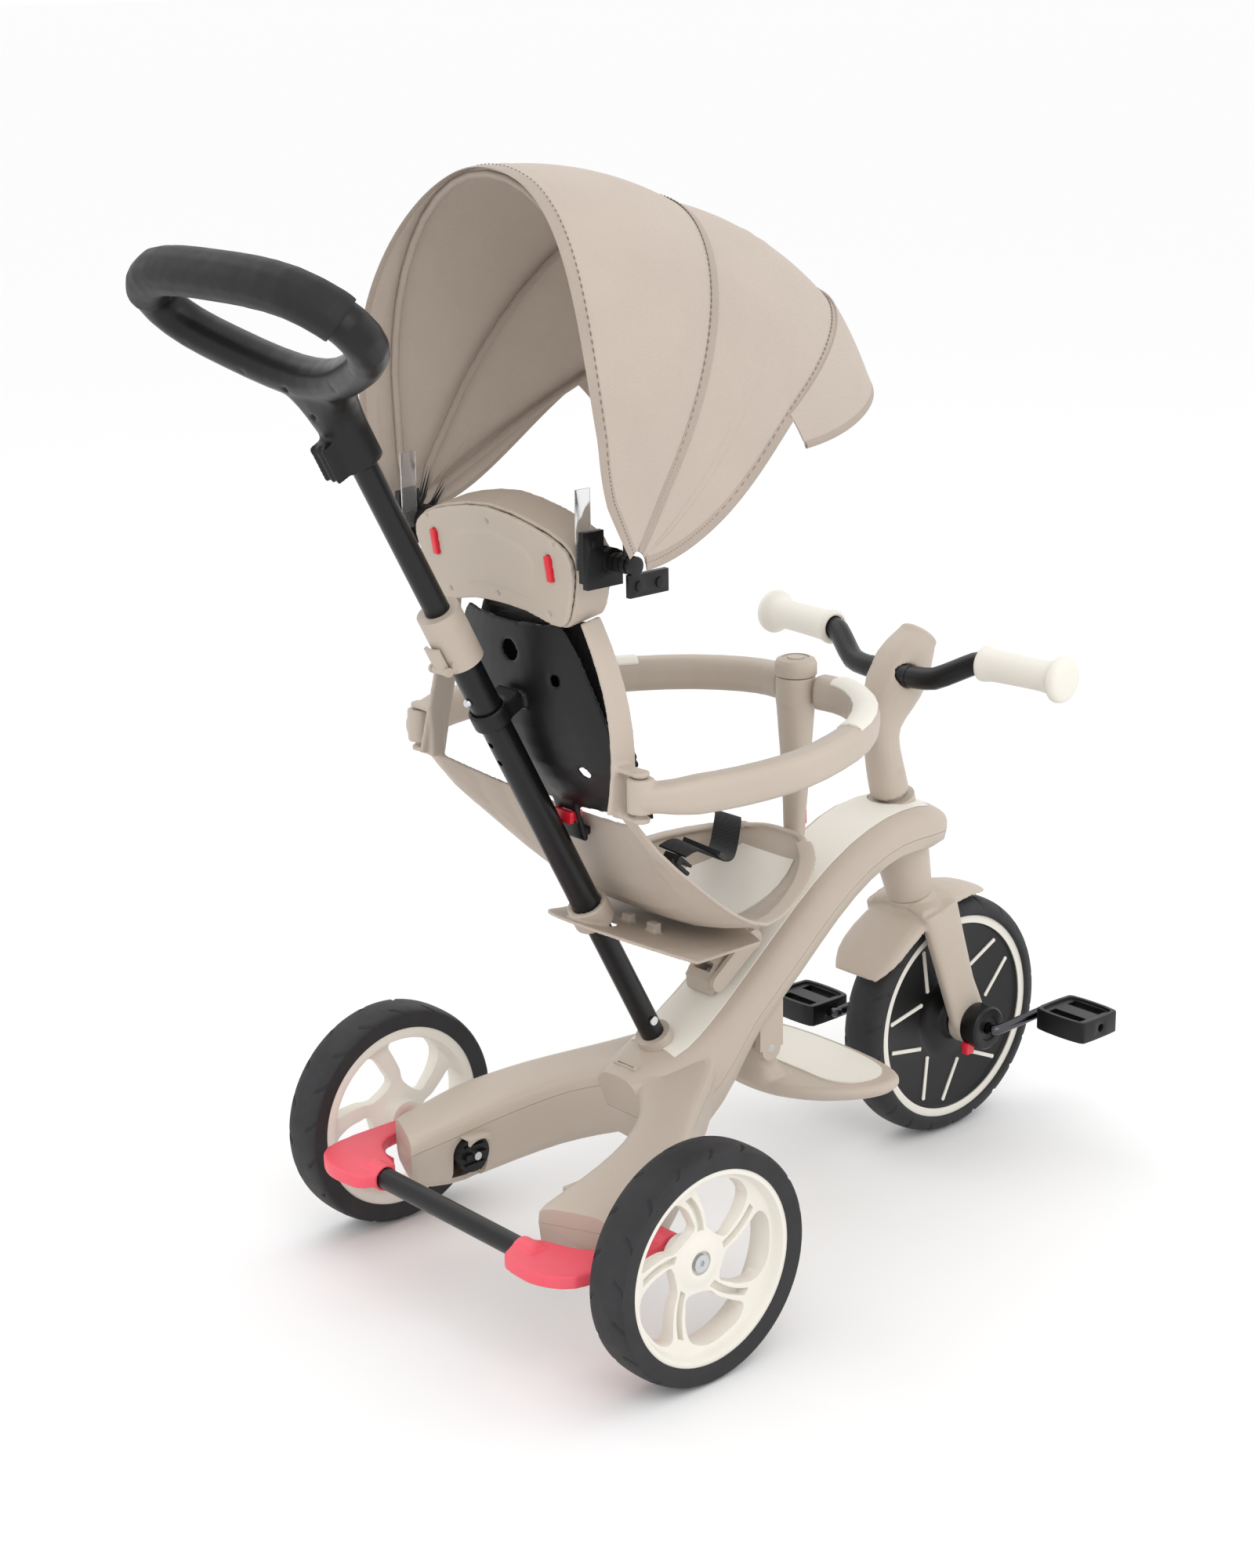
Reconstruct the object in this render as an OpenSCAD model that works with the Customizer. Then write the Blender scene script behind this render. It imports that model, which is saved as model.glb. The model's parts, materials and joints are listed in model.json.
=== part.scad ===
// Children's push tricycle with a parent handle, folding sun canopy and safety ring.
// Millimetres. +X is forward, +Y is the rider's left, +Z is up, and the wheels stand on Z = 0.

/* [Wheels] */
// Number of swirled spokes in each rear rim
spoke_count = 5; // [4:1:6]
// How far a rear spoke sweeps round between hub and rim, in degrees
spoke_swirl = 26; // [10:1:32]
// Width of the rear tyre
rear_tyre_w = 41.5; // [36:0.5:42]
// Width of the front tyre
front_tyre_w = 47.7; // [42:0.1:48]

/* [Moulded shells] */
// Wall thickness of the frame shells
frame_wall = 3; // [2.4:0.1:3.6]
// Wall thickness of the seat bucket and the tray under it
seat_wall = 3.2; // [2.6:0.1:3.6]

/* [Handlebar and handle] */
// Radius of the handlebar grips at their waist
grip_r = 15; // [14:0.5:16.5]
// In-plane half thickness of the push handle loop
loop_half = 15.5; // [14:0.5:17]

/* [Canopy] */
// Thickness of the canopy fabric solids
fabric_t = 1.6; // [1.2:0.1:2.4]
// Radius of the canopy bows
bow_r = 3.4; // [3:0.1:3.6]

/* [Finish] */
// Facets on round parts
round_fn = 64; // [48:8:96]

/* [Part] */
// The sub-part to build, or all of them

/* [Hidden] */
$fn = round_fn;
taupe = [0.78, 0.72, 0.67];
cream = [0.92, 0.91, 0.86];
black = [0.1, 0.1, 0.1];
dark = [0.2, 0.2, 0.2];
red = [0.88, 0.15, 0.2];
coral = [0.93, 0.3, 0.38];
steel = [0.75, 0.75, 0.77];
fabric = [0.76, 0.7, 0.63];

// Rear axle position that centres the whole object on X = 0
rear_axle_x = -179.7;
rear_r = 108.3;
rear_y = 217.9;
front_c = [541.2, 0, 125];
front_r = 125;
crank_r = 63;
crank_a = 10;

// ---- Vector and curve helpers ----
function unit(v) = v / norm(v);
function mix(a, b, t) = a + (b - a) * t;
function spow(x, p) = sign(x) * pow(abs(x), p);
function pick(a, i) = is_num(a) ? a : a[i];
function lsum(l, i = 0) = i >= len(l) - 1 ? l[i] : l[i] + lsum(l, i + 1);
function centre(r) = lsum(r) / len(r);
function cr(a, b, c, d, t) =
  0.5 * (2 * b + (c - a) * t + (2 * a - 5 * b + 4 * c - d) * t * t + (3 * b - a - 3 * c + d) * t * t * t);
// Smooth curve through the points, k steps from each point to the next
function spline(p, k) = let(n = len(p))
  [for (i = [0:n - 2]) for (j = [0:k - 1])
    cr(p[max(0, i - 1)], p[i], p[i + 1], p[min(n - 1, i + 2)], j / k), p[n - 1]];
function spline_loop(p, k) = let(n = len(p))
  [for (i = [0:n - 1]) for (j = [0:k - 1])
    cr(p[(i + n - 1) % n], p[i], p[(i + 1) % n], p[(i + 2) % n], j / k)];
// One point of a superellipse with half sizes a and b along u and v
function sup(c, u, v, a, b, e, t) =
  c + u * a * spow(cos(t), 2 / e) + v * b * spow(sin(t), 2 / e);
function ring(c, u, v, a, b, e, n) = [for (i = [0:n - 1]) sup(c, u, v, a, b, e, 360 * i / n)];
// Closed rings along a path whose sections keep the direction nrm; a is across it, b in its plane
function path_rings(p, nrm, a, b, e = 2, n = 16) = let(m = len(p))
  [for (i = [0:m - 1])
    let(t = unit(p[min(m - 1, i + 1)] - p[max(0, i - 1)]), v = unit(cross(t, nrm)), u = unit(cross(v, t)))
    ring(p[i], u, v, pick(a, i), pick(b, i), e, n)];
function loop_rings(p, nrm, a, b, e = 2, n = 16) = let(m = len(p))
  [for (i = [0:m - 1])
    let(t = unit(p[(i + 1) % m] - p[(i + m - 1) % m]), v = unit(cross(t, nrm)), u = unit(cross(v, t)))
    ring(p[i], u, v, pick(a, i), pick(b, i), e, n)];

// ---- Solid helpers ----
// Skin a list of rings, each with the same number of points
module loft(r, closed = false) {
  n = len(r[0]);
  m = len(r);
  c0 = centre(r[0]);
  area = lsum([for (j = [0:n - 1]) cross(r[0][j] - c0, r[0][(j + 1) % n] - c0)]);
  good = area * (centre(r[1]) - c0) > 0;
  last = closed ? m - 1 : m - 2;
  side = [for (i = [0:last]) for (j = [0:n - 1])
    let(a = i * n + j, b = i * n + (j + 1) % n, c = ((i + 1) % m) * n + (j + 1) % n,
      d = ((i + 1) % m) * n + j)
    each [[a, d, c], [a, c, b]]];
  caps = closed ? [] : [[for (j = [0:n - 1]) j], [for (j = [n - 1:-1:0]) (m - 1) * n + j]];
  f = concat(side, caps);
  polyhedron([for (q = r) each q], good ? f : [for (q = f) [for (k = [len(q) - 1:-1:0]) q[k]]], 10);
}

// A closed sheet between two equal grids of points
module slab(g, h) {
  rows = len(g);
  cols = len(g[0]);
  edge = concat([for (j = [0:cols - 1]) [0, j]], [for (i = [1:rows - 1]) [i, cols - 1]],
    [for (j = [cols - 2:-1:0]) [rows - 1, j]], [for (i = [rows - 2:-1:1]) [i, 0]]);
  k = rows * cols;
  top = [for (i = [0:rows - 2]) for (j = [0:cols - 2])
    let(a = i * cols + j) each [[a, a + 1, a + cols + 1], [a, a + cols + 1, a + cols]]];
  low = [for (q = top) [q[2] + k, q[1] + k, q[0] + k]];
  rim = [for (s = [0:len(edge) - 1])
    let(p = edge[s], q = edge[(s + 1) % len(edge)], a = p[0] * cols + p[1], b = q[0] * cols + q[1])
    each [[b, a, a + k], [b, a + k, b + k]]];
  f = concat(top, low, rim);
  mid = [floor(rows / 2), floor(cols / 2)];
  s = cross(g[mid[0]][mid[1] + 1] - g[mid[0]][mid[1]], g[mid[0] + 1][mid[1]] - g[mid[0]][mid[1]]);
  good = s * (g[mid[0]][mid[1]] - h[mid[0]][mid[1]]) < 0;
  polyhedron(concat([for (q = g) each q], [for (q = h) each q]),
    good ? f : [for (q = f) [q[2], q[1], q[0]]], 10);
}
// Push a grid of points off itself along its own normals
function grid_offset(g, d) = let(rows = len(g), cols = len(g[0]))
  [for (i = [0:rows - 1]) [for (j = [0:cols - 1])
    let(a = g[min(rows - 1, i + 1)][j] - g[max(0, i - 1)][j],
      b = g[i][min(cols - 1, j + 1)] - g[i][max(0, j - 1)])
    g[i][j] + d * unit(cross(a, b))]];

module align(p, d) {
  u = unit(d);
  ax = cross([0, 0, 1], u);
  translate(p) rotate(a = acos(u[2]), v = norm(ax) < 0.000001 ? [1, 0, 0] : ax) children();
}
module bar(a, b, r) {
  align(a, b - a) cylinder(h = norm(b - a), r = r);
}
module pipe(a, b, ro, ri) {
  align(a, b - a) difference() {
    cylinder(h = norm(b - a), r = ro);
    translate([0, 0, -1]) cylinder(h = norm(b - a) + 2, r = ri);
  }
}
module y_bar(x, z, y0, y1, r) {
  translate([x, min(y0, y1), z]) rotate([-90, 0, 0]) cylinder(h = abs(y1 - y0), r = r);
}
module both_sides() {
  children();
  mirror([0, 1, 0]) children();
}
module place() {
  translate([rear_axle_x, 0, 0]) children();
}

// ---- Push rod line ----
rod_base = [145.7, 0, 211.6];
rod_dir = unit([-0.4648, 0, 0.8854]);
rod_back = [-rod_dir[2], 0, rod_dir[0]];
function rod_pt(s, b = 0, y = 0) = rod_base + s * rod_dir + b * rod_back + [0, y, 0];
lower_or = 11.25;
mid_or = 13.6;
upper_or = 11;
fit = 0.05;

// ---- Steering line ----
steer_slope = 0.2724;
steer_dir = unit([-steer_slope, 0, 1]);
function steer_pt(z) = [456.6 + (397.7 - z) * steer_slope, 0, z];
steerer_r = 14;

// ---- Frame ----
// Left leg sections: inner x, inner y, outer x, outer y, top z, bottom z
leg_rows = spline([[-71, 91, -44, 151, 139, 97], [-64, 88, -30, 152, 142, 86], [-30, 83, -5, 151, 147, 79],
  [5, 78, 22, 148.5, 153, 80], [46, 68, 50, 136, 161, 87], [82, 50, 85, 115, 171, 97],
  [104, 24, 118, 91, 180, 107], [122, -4, 150, 71, 187, 116], [150, -20, 182, 48, 196, 128]], 2);
// Spine sections: top x, top z, bottom x, bottom z, half width
spine_rows = spline([[98, 184, 112, 118, 30], [128, 196, 140, 115, 44], [160, 207, 178, 118, 50],
  [190, 224, 210, 150, 50], [220, 243, 243, 190, 47], [274, 285, 300, 234, 45],
  [326, 325, 350, 278, 46], [374, 353, 392, 308, 48], [423, 369, 432, 322, 49],
  [468, 371, 470, 321, 47], [503, 361, 502, 322, 38], [523, 348, 519, 327, 22]], 2);
lid_depth = 15;
spine_lid = 0.58;

function half(c, u, v, a, b, e, n) = [for (i = [0:n]) sup(c, u, v, a, b, e, 180 * i / n)];
function leg_u(s) = unit([s[2] - s[0], s[3] - s[1], 0]);
function leg_a(s) = norm([s[2] - s[0], s[3] - s[1]]) / 2;
function leg_c(s, z) = [(s[0] + s[2]) / 2, (s[1] + s[3]) / 2, z];
function leg_top(s) = half(leg_c(s, s[4] - lid_depth), leg_u(s), [0, 0, 1], leg_a(s), lid_depth, 4, 10);
function leg_low(s) = let(b = s[4] - lid_depth - 0.4 - s[5])
  [for (i = [0:8]) let(t = 180 * i / 8, k = 1 - 0.1 * sin(t))
    sup(leg_c(s, s[4] - lid_depth - 0.4), leg_u(s), [0, 0, -1], leg_a(s) * k, b, 5, t)];
function leg_in(s) = let(zc = (s[4] + s[5]) / 2)
  ring(leg_c(s, zc), leg_u(s), [0, 0, 1], leg_a(s) * 0.93 - frame_wall, (s[4] - s[5]) / 2 - frame_wall,
    4, 12);
function spine_v(s) = unit([s[0] - s[2], 0, s[1] - s[3]]);
function spine_h(s) = norm([s[0] - s[2], s[1] - s[3]]);
function spine_c(s, k) = [s[0], 0, s[1]] - spine_v(s) * spine_h(s) * k;
function spine_top(s) = half(spine_c(s, spine_lid), [0, 1, 0], spine_v(s), s[4], spine_h(s) * spine_lid,
  3, 12);
function spine_low(s) = let(k = spine_lid + 0.4 / spine_h(s))
  half(spine_c(s, k), [0, 1, 0], -spine_v(s), s[4], spine_h(s) * (1 - k), 3.4, 8);
function spine_in(s) = ring(spine_c(s, 0.54), [0, 1, 0], spine_v(s), s[4] - frame_wall - 1,
  spine_h(s) * 0.46 - frame_wall, 2.8, 12);

module frame_top_solid() {
  both_sides() loft([for (s = leg_rows) leg_top(s)]);
  loft([for (s = spine_rows) spine_top(s)]);
}
module frame_low_solid() {
  both_sides() loft([for (s = leg_rows) leg_low(s)]);
  loft([for (s = spine_rows) spine_low(s)]);
}
module frame_cavity() {
  both_sides() loft([for (i = [1:3:len(leg_rows) - 1]) leg_in(leg_rows[i])]);
  loft([for (i = [1:2:len(spine_rows) - 2]) spine_in(spine_rows[i])]);
}
module frame_bores() {
  bar(rod_pt(-60), rod_pt(40), lower_or);
  bar(steer_pt(250), steer_pt(400), steerer_r + fit);
}
module frame_upper_shell() {
  color(taupe) place() {
    difference() {
      union() {
        difference() {
          frame_top_solid();
          frame_cavity();
        }
        bar(steer_pt(349), steer_pt(374.5), 23.5);
        bar(rod_pt(-17), rod_pt(2), 17);
      }
      frame_bores();
    }
    // Raised lip of the small slot at the fork of the legs
    translate([112, 0, 188.5]) rotate([0, -20, 0]) difference() {
      cube([5, 30, 5], center = true);
      cube([2, 22, 12], center = true);
    }
  }
}
module frame_lower_shell() {
  color(taupe) place() difference() {
    union() {
      difference() {
        frame_low_solid();
        frame_top_solid();
        frame_cavity();
      }
      bar(rod_pt(-64), rod_pt(-38), 16);
      translate([160, -1.5, 119.4]) cube([20, 3, 42]);
      bar(steer_pt(322), steer_pt(347), 22);
      align(steer_pt(267.9), steer_dir) cylinder(h = 62, r1 = 23, r2 = 29);
      both_sides() {
        y_bar(0, rear_r, 96, 156.5, 13);
        // Footrest hinge lugs under the spine
        translate([252, 26.5, 172]) cube([30, 7, 60]);
        y_bar(267, 172, 26.5, 33.5, 12);
        // Clip over the knob in the leg
        translate([-22, 66, 131.4]) cube([24, 19, 1.7]);
        translate([-22, 66, 119]) cube([24, 3, 14.1]);
      }
    }
    frame_bores();
    y_bar(0, rear_r, -170, 170, 6);
    y_bar(267, 172, -40, 40, 4);
    // Arch for the knob in the left leg, and the bore of its pin
    translate([-28.3, 60, 60]) cube([36.6, 34, 53]);
    y_bar(-10, 113, 60, 94, 18.3);
    y_bar(-10, 113, 60, 121, 4);
    y_bar(-10, 113, 104.9, 121, 6);
  }
}
module spine_inlay() {
  lo = 4;
  hi = 8;
  color(cream) place() difference() {
    loft([for (k = [3:len(spine_rows) - 4]) let(s = spine_rows[k], r = spine_top(s), v = spine_v(s))
      concat([for (i = [lo:hi]) r[i] + v * (i == lo || i == hi ? 1.2 : 2)],
        [for (i = [hi:-1:lo]) r[i] + 0.3 * v])]);
    bar(rod_pt(-60), rod_pt(40), 17);
    bar(steer_pt(330), steer_pt(400), 23.5);
  }
}
module axle_hardware() {
  color(steel) place() {
    both_sides() {
      y_bar(0, rear_r, 100, 219, 6);
      translate([0, 219, rear_r]) rotate([-90, 0, 0]) difference() {
        cylinder(h = 4, r = 8);
        translate([0, 0, 2]) cylinder(h = 5, r = 3, $fn = 6);
      }
      y_bar(267, 172, 26.5, 33.5, 4);
    }
    // Footrest pin, knob pin and rod screw
    y_bar(267, 172, -26.6, 26.6, 4);
    y_bar(-10, 113, 70, 117, 4);
    y_bar(-10, 113, 105, 120, 6);
    align(rod_pt(22, 0, -9.8), [0, -1, 0]) cylinder(h = 4, r = 2.5);
    align(rod_pt(22, 0, -12.2), [0, -1, 0]) cylinder(h = 1.6, r = 4.2);
  }
}

// ---- Push rod and handle ----
module rod_lower_tube() {
  color(black) place() difference() {
    pipe(rod_pt(-60), rod_pt(196), lower_or, lower_or - 1.5);
    align(rod_pt(22, 0, -5), [0, -1, 0]) cylinder(h = 12, r = 2.5);
  }
}
module rod_mid_tube() {
  color(dark) place() difference() {
    bar(rod_pt(159), rod_pt(455), mid_or);
    bar(rod_pt(158), rod_pt(196), lower_or);
    bar(rod_pt(190), rod_pt(460), upper_or + fit);
    bar(rod_pt(413), rod_pt(413, 20), 3.05);
    for (s = [345, 365]) bar(rod_pt(s), rod_pt(s, 20), 3);
  }
}
module rod_clamp() {
  color(taupe) place() difference() {
    union() {
      bar(rod_pt(449), rod_pt(502), 19);
      both_sides() clamp_ear();
    }
    bar(rod_pt(440), rod_pt(455), mid_or);
    bar(rod_pt(454), rod_pt(510), upper_or + fit);
    align(rod_pt(456, 23, 0), [0, 1, 0]) cylinder(h = 40, r = 1.55, center = true);
  }
}
module clamp_ear() {
  align(rod_pt(456, 23, 9), [0, 1, 0]) cylinder(h = 3, r = 4);
  align(rod_pt(456, 14, 9), [0, 1, 0]) linear_extrude(3) square([9, 9], center = true);
}
module clamp_lever() {
  color(taupe) place() {
    align(rod_pt(456, 23, 0), [0, 1, 0]) cylinder(h = 24, r = 1.5, center = true);
    difference() {
      align(rod_pt(456, 23, 0), [0, 1, 0]) cylinder(h = 17, r = 3.6, center = true);
      bar(rod_pt(440), rod_pt(480), 19.3);
    }
    difference() {
      bar(rod_pt(457), rod_pt(478), 25);
      bar(rod_pt(450), rod_pt(480), 21.5);
      align(rod_pt(450), rod_dir) translate([-8, -40, 0]) cube([80, 80, 60]);
      for (k = [-1, 1]) align(rod_pt(450), rod_dir) translate([-40, k * 28.5 - 20, 0]) cube([80, 40, 60]);
    }
  }
}
module snap_button() {
  color(steel) place() {
    bar(rod_pt(413, 12.2), rod_pt(413, 15), 3);
    difference() {
      translate(rod_pt(413, 14.2)) sphere(r = 4, $fn = 24);
      bar(rod_pt(400), rod_pt(425), mid_or + 1.1);
    }
  }
}
module rod_upper_tube() {
  color(black) place() pipe(rod_pt(330), rod_pt(690), upper_or, upper_or - 1.5);
}
loop_tilt = 44;
loop_v = [-sin(loop_tilt), 0, cos(loop_tilt)];
loop_n = [cos(loop_tilt), 0, sin(loop_tilt)];
loop_o = [-190, 0, 850];
function loop_pt(q) = loop_o + [0, q[0], 0] + q[1] * loop_v;
loop_half_path = [[0, 140], [48, 139], [92, 132], [124, 112], [133, 86], [118, 62], [84, 42], [42, 24]];
loop_path = [for (q = spline_loop(concat(loop_half_path, [[0, 17]],
  [for (i = [7:-1:1]) [-loop_half_path[i][0], loop_half_path[i][1]]]), 2)) loop_pt(q)];
module handle_frame() {
  color(black) place() difference() {
    union() {
      loft(loop_rings(loop_path, loop_n, 17.5, loop_half, 2.3, 12), true);
      loft(let(p = spline([rod_pt(653), rod_pt(676), [-181, 0, 832], [-193, 0, 852], [-203, 0, 863]], 2))
        path_rings(p, [0, 1, 0], [18.5, 18.5, 18.5, 19, 22, 29, 40, 52, 60],
          [18.5, 18.5, 18.5, 19, 20, 20, 19, 17, 15], 2.3, 16));
      // Rail for accessories on the back of the neck
      align(rod_pt(655), rod_dir) {
        translate([-29, -10, 0]) cube([12, 20, 34]);
        for (k = [-10, -1.5, 7]) translate([-33, k, 0]) cube([8, 3, 34]);
      }
    }
    bar(rod_pt(640), rod_pt(690), upper_or);
    for (q = [[62, 36], [-62, 36], [112, 64], [-112, 64], [0, -4], [18, 20]])
      bar(loop_pt(q) - loop_n * 30, loop_pt(q) - loop_n * 11, 2.6);
  }
}
module handle_grip() {
  p = [for (i = [0:len(loop_path) - 1]) loop_path[(i + len(loop_path) - 7) % len(loop_path)]];
  arc = [for (i = [0:14]) i == 0 ? mix(p[0], p[1], 0.4) : i == 14 ? mix(p[13], p[14], 0.6) : p[i]];
  color(dark) place() difference() {
    loft(path_rings(arc, loop_n, 20, loop_half + 2.6, 2.3, 12));
    loft(loop_rings(loop_path, loop_n, 17.5, loop_half, 2.3, 12), true);
  }
}
module leg_knob() {
  color(black) place() difference() {
    union() {
      y_bar(-10, 113, 76, 90, 17.5);
      translate([-10, 74.5, 113]) cube([24, 5, 5], center = true);
      for (k = [-9, 9]) translate([-10, 75.4, 113 + k]) cube([22, 3, 1.6], center = true);
    }
    y_bar(-10, 113, 70.2, 95, 4.05);
    translate([-10, 70, 113]) cube([9, 7, 2.6], center = true);
  }
}

// ---- Seat ----
// Seat sections from the front edge back: centre x, centre z, rim x, rim half width, rim z
seat_rows = spline([[315, 373, 303, 38, 372], [297, 353, 281, 66, 368], [262, 339, 246, 93, 361],
  [222, 333, 206, 112, 352], [180, 332, 166, 122, 348], [141, 338, 122, 129, 370],
  [106, 361, 77, 131, 407], [82, 404, 32, 131, 449], [66, 448, -2, 130, 492]], 2);
seat_v = [for (k = [-6:6]) k / 6];
function seat_p(s, v) = let(a = abs(v), w = pow(a, 3.2))
  [mix(s[0], s[2], w), s[3] * spow(v, 0.92), mix(s[1], s[4], w)];
seat_grid = [for (s = seat_rows) [for (v = seat_v) seat_p(s, v)]];
ring_pin = [2, 150, 508];
module seat_shell() {
  band = spline([[-2, 128, 488], [4, 126, 520], [8, 120, 556], [8, 111, 592], [4, 101, 625], [0, 92,
    649]], 2);
  color(taupe) place() {
    slab(seat_grid, grid_offset(seat_grid, seat_wall));
    both_sides() {
      // Rolled edge of the bucket
      loft(path_rings([for (s = seat_rows) seat_p(s, 1) + [0, 1, 0]], [0, 0, 1], 2.2, 8.5, 3, 8));
      // Side band up to the headrest
      loft(path_rings(band, [0, 1, 0], 2.6, [for (i = [0:10]) mix(15, 11, i / 10)], 4, 8));
      // Lugs that hold the pin of a ring arm
      for (z = [485.5, 525.5]) difference() {
        union() {
          translate([ring_pin[0], ring_pin[1], z]) cylinder(h = 5, r = 8);
          translate([ring_pin[0] - 7, 124, z]) cube([14, 24, 5]);
        }
      }
      translate([ring_pin[0], ring_pin[1], 487]) cylinder(h = 40, r = 4);
      translate([-6, 122, 485.5]) cube([14, 6, 45]);
    }
    // Front rim bead
    loft(path_rings([for (v = seat_v) seat_p(seat_rows[0], v) + [1, 0, -1]], [0, 0, 1], 2.5, 4, 3, 8));
  }
}
tray_v = [for (k = [-8:8]) k / 8];
module seat_tray() {
  g = [for (u = [0:0.2:1]) [for (v = tray_v)
    let(xr = 46 + 68 * v * v, zr = 350 - 33 * v * v)
    [mix(xr, 214 - 22 * v * v, u), 97 * v, mix(zr, 318, pow(u, 0.8)) - 3 * sin(180 * u) * (1 - v * v)]]];
  color(taupe) place() difference() {
    union() {
      slab(g, grid_offset(g, -seat_wall));
      bar(rod_pt(146), rod_pt(168), 19);
      for (y = [-42, -8, 26]) translate([112, y, 330]) cube([8, 12, 9]);
    }
    bar(rod_pt(120), rod_pt(158.98), lower_or);
    bar(rod_pt(158.98), rod_pt(220), mid_or);
    bar(rod_pt(120), rod_pt(146.5), 16);
  }
}
module seat_inlay() {
  k0 = 2;
  g = [for (i = [k0:8]) [for (j = [3:9]) seat_grid[i][j]]];
  color(cream) place() slab(grid_offset(g, -0.05), grid_offset(g, -1.5));
}
// Back plate sections from the top down: x, z, half width, forward curl at the sides
back_rows = spline([[-15, 636, 62, 8], [-13, 610, 80, 10], [-9, 575, 92, 14], [-2, 540, 100, 18],
  [12, 505, 104, 22], [32, 476, 104, 20], [50, 457, 96, 14]], 2);
back_grid = [for (s = back_rows) [for (k = [-6:6]) let(v = k / 6)
  [s[0] + s[3] * pow(abs(v), 2.5), s[2] * v, s[1] + 4 * abs(v)]]];
module back_plate() {
  color(black) place() {
    difference() {
      slab(back_grid, grid_offset(back_grid, 3));
      bar([-60, 0, 609], [30, 0, 609], 9);
      for (y = [-52, 52]) bar([-60, y, 590], [30, y, 590], 5);
      for (y = [-58, 58]) bar([-60, y, 505], [60, y, 505], 5);
      backrest_slot();
    }
    // Tongue into the seat
    difference() {
      union() {
        translate([55, -16, 424]) rotate([0, -17, 0]) cube([5, 32, 46]);
        translate([54, -12, 428]) cube([12.2, 24, 8]);
      }
      backrest_slot();
    }
    // Clip round the push rod
    difference() {
      union() {
        bar(rod_pt(380), rod_pt(398), mid_or + 4);
        align(rod_pt(380), rod_dir) translate([8, -14, 0]) cube([20, 28, 18]);
      }
      bar(rod_pt(370), rod_pt(410), mid_or + 0.02);
    }
  }
}
module backrest_slot() {
  translate([30, -11.3, 444]) cube([60, 22.6, 9.6]);
}
module backrest_button() {
  color(red) place() {
    translate([40.3, -13, 443]) cube([4, 26, 11]);
    translate([43, -11, 444.3]) cube([13, 22, 9]);
  }
}
module back_cushion() {
  rows = spline([[10, 640, 70], [16, 612, 88], [20, 575, 97], [30, 538, 99], [50, 505, 90]], 3);
  n = [0.96, 0, 0.27];
  color(black) place() loft([for (s = rows)
    [for (a = [0:20:340]) [s[0], 0, s[1]] + n * (9 * spow(sin(a), 0.8) + 13 * pow(cos(a), 2))
      + [0, s[2] * spow(cos(a), 0.75), 0]]]);
}
belt_path = spline([[62, -122, 439], [88, -110, 436], [118, -96, 421], [150, -74, 403], [190, -42, 386],
  [232, -4, 374],
  [262, 22, 384], [284, 44, 384], [300, 64, 375]], 3);
module lap_belt() {
  color(black) place() loft(let(m = len(belt_path)) [for (i = [0:m - 1])
    let(t = unit(belt_path[min(m - 1, i + 1)] - belt_path[max(0, i - 1)]),
      w = unit(cross([0.25, -0.2, 1], t)), n = unit(cross(t, w)), p = belt_path[i])
    [p + w * 13, p + w * 13 + n * 1.6, p - w * 13 + n * 1.6, p - w * 13]]);
}
module belt_hardware() {
  p = belt_path[7];
  t = unit(belt_path[8] - belt_path[6]);
  w = unit(cross([0.25, -0.2, 1], t));
  n = unit(cross(t, w));
  color(black) place() {
    multmatrix([[t[0], w[0], n[0], p[0]], [t[1], w[1], n[1], p[1]], [t[2], w[2], n[2], p[2]]])
      difference() {
        translate([-15, -18, 2]) cube([30, 36, 4]);
        translate([-10, -14, 1]) cube([8, 28, 6]);
        translate([2, -14, 1]) cube([8, 28, 6]);
      }
    // Anchor clips on the rolled edge of the bucket
    both_sides() translate([53.8, 131, 427.6]) rotate([0, 43, 0]) {
      translate([-13, -7.5, 2.6]) cube([26, 15, 3.2]);
      translate([-9, -9.5, 4]) cube([6, 19, 6]);
      translate([-9, -9.5, 9]) cube([18, 19, 2.4]);
    }
  }
}

// ---- Headrest ----
head_lean = 9.3;
head_c = [-25, 0, 690];
head_outline = spline_loop([[0, 49], [55, 41], [92, 29], [106, 14], [103, -8], [92, -36], [82, -48], [66,
  -48],
  [36, -42], [0, -40], [-36, -42], [-66, -48], [-82, -48], [-92, -36], [-103, -8], [-106, 14], [-92, 29],
  [-55, 41]], 2);
head_slots = [[76.3, 5], [-76.3, 5]];
// Local frame of the headrest: X is the rider's left, Y is up, Z is forward
module head_frame() {
  translate(head_c) rotate([0, -head_lean, 0])
    multmatrix([[0, 0, 1, 0], [1, 0, 0, 0], [0, 1, 0, 0]]) children();
}
function shrink(p, k) = [for (q = p) [q[0] * (1 - k / 106), q[1] * (1 - k / 48)]];
module headrest_box() {
  color(taupe) place() head_frame() difference() {
    translate([0, 0, 2]) linear_extrude(38) polygon(head_outline);
    translate([0, 0, -1]) linear_extrude(38) polygon(shrink(head_outline, 4));
    for (k = [-1, 1]) translate([k * 96, 12, 18]) rotate([0, k * 90, 0]) cylinder(h = 14, r = 13);
  }
}
module headrest_cover() {
  color(taupe) place() head_frame() difference() {
    union() {
      translate([0, 0, -3]) linear_extrude(4.6) polygon(shrink(head_outline, 2));
      translate([0, 0, -4.2]) linear_extrude(1.6) polygon(shrink([for (q = head_outline) [q[0] * 0.5,
        q[1] * 0.52]], 0));
    }
    for (q = head_slots) translate([q[0] - 3.2, q[1] - 11.5, -10]) cube([6.4, 23, 20]);
    for (q = [[84, 27], [-84, 27], [0, 34], [66, -37], [-66, -37], [0, -30]])
      translate([q[0], q[1], -6]) cylinder(h = 6, r = 2.6);
  }
}
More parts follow.
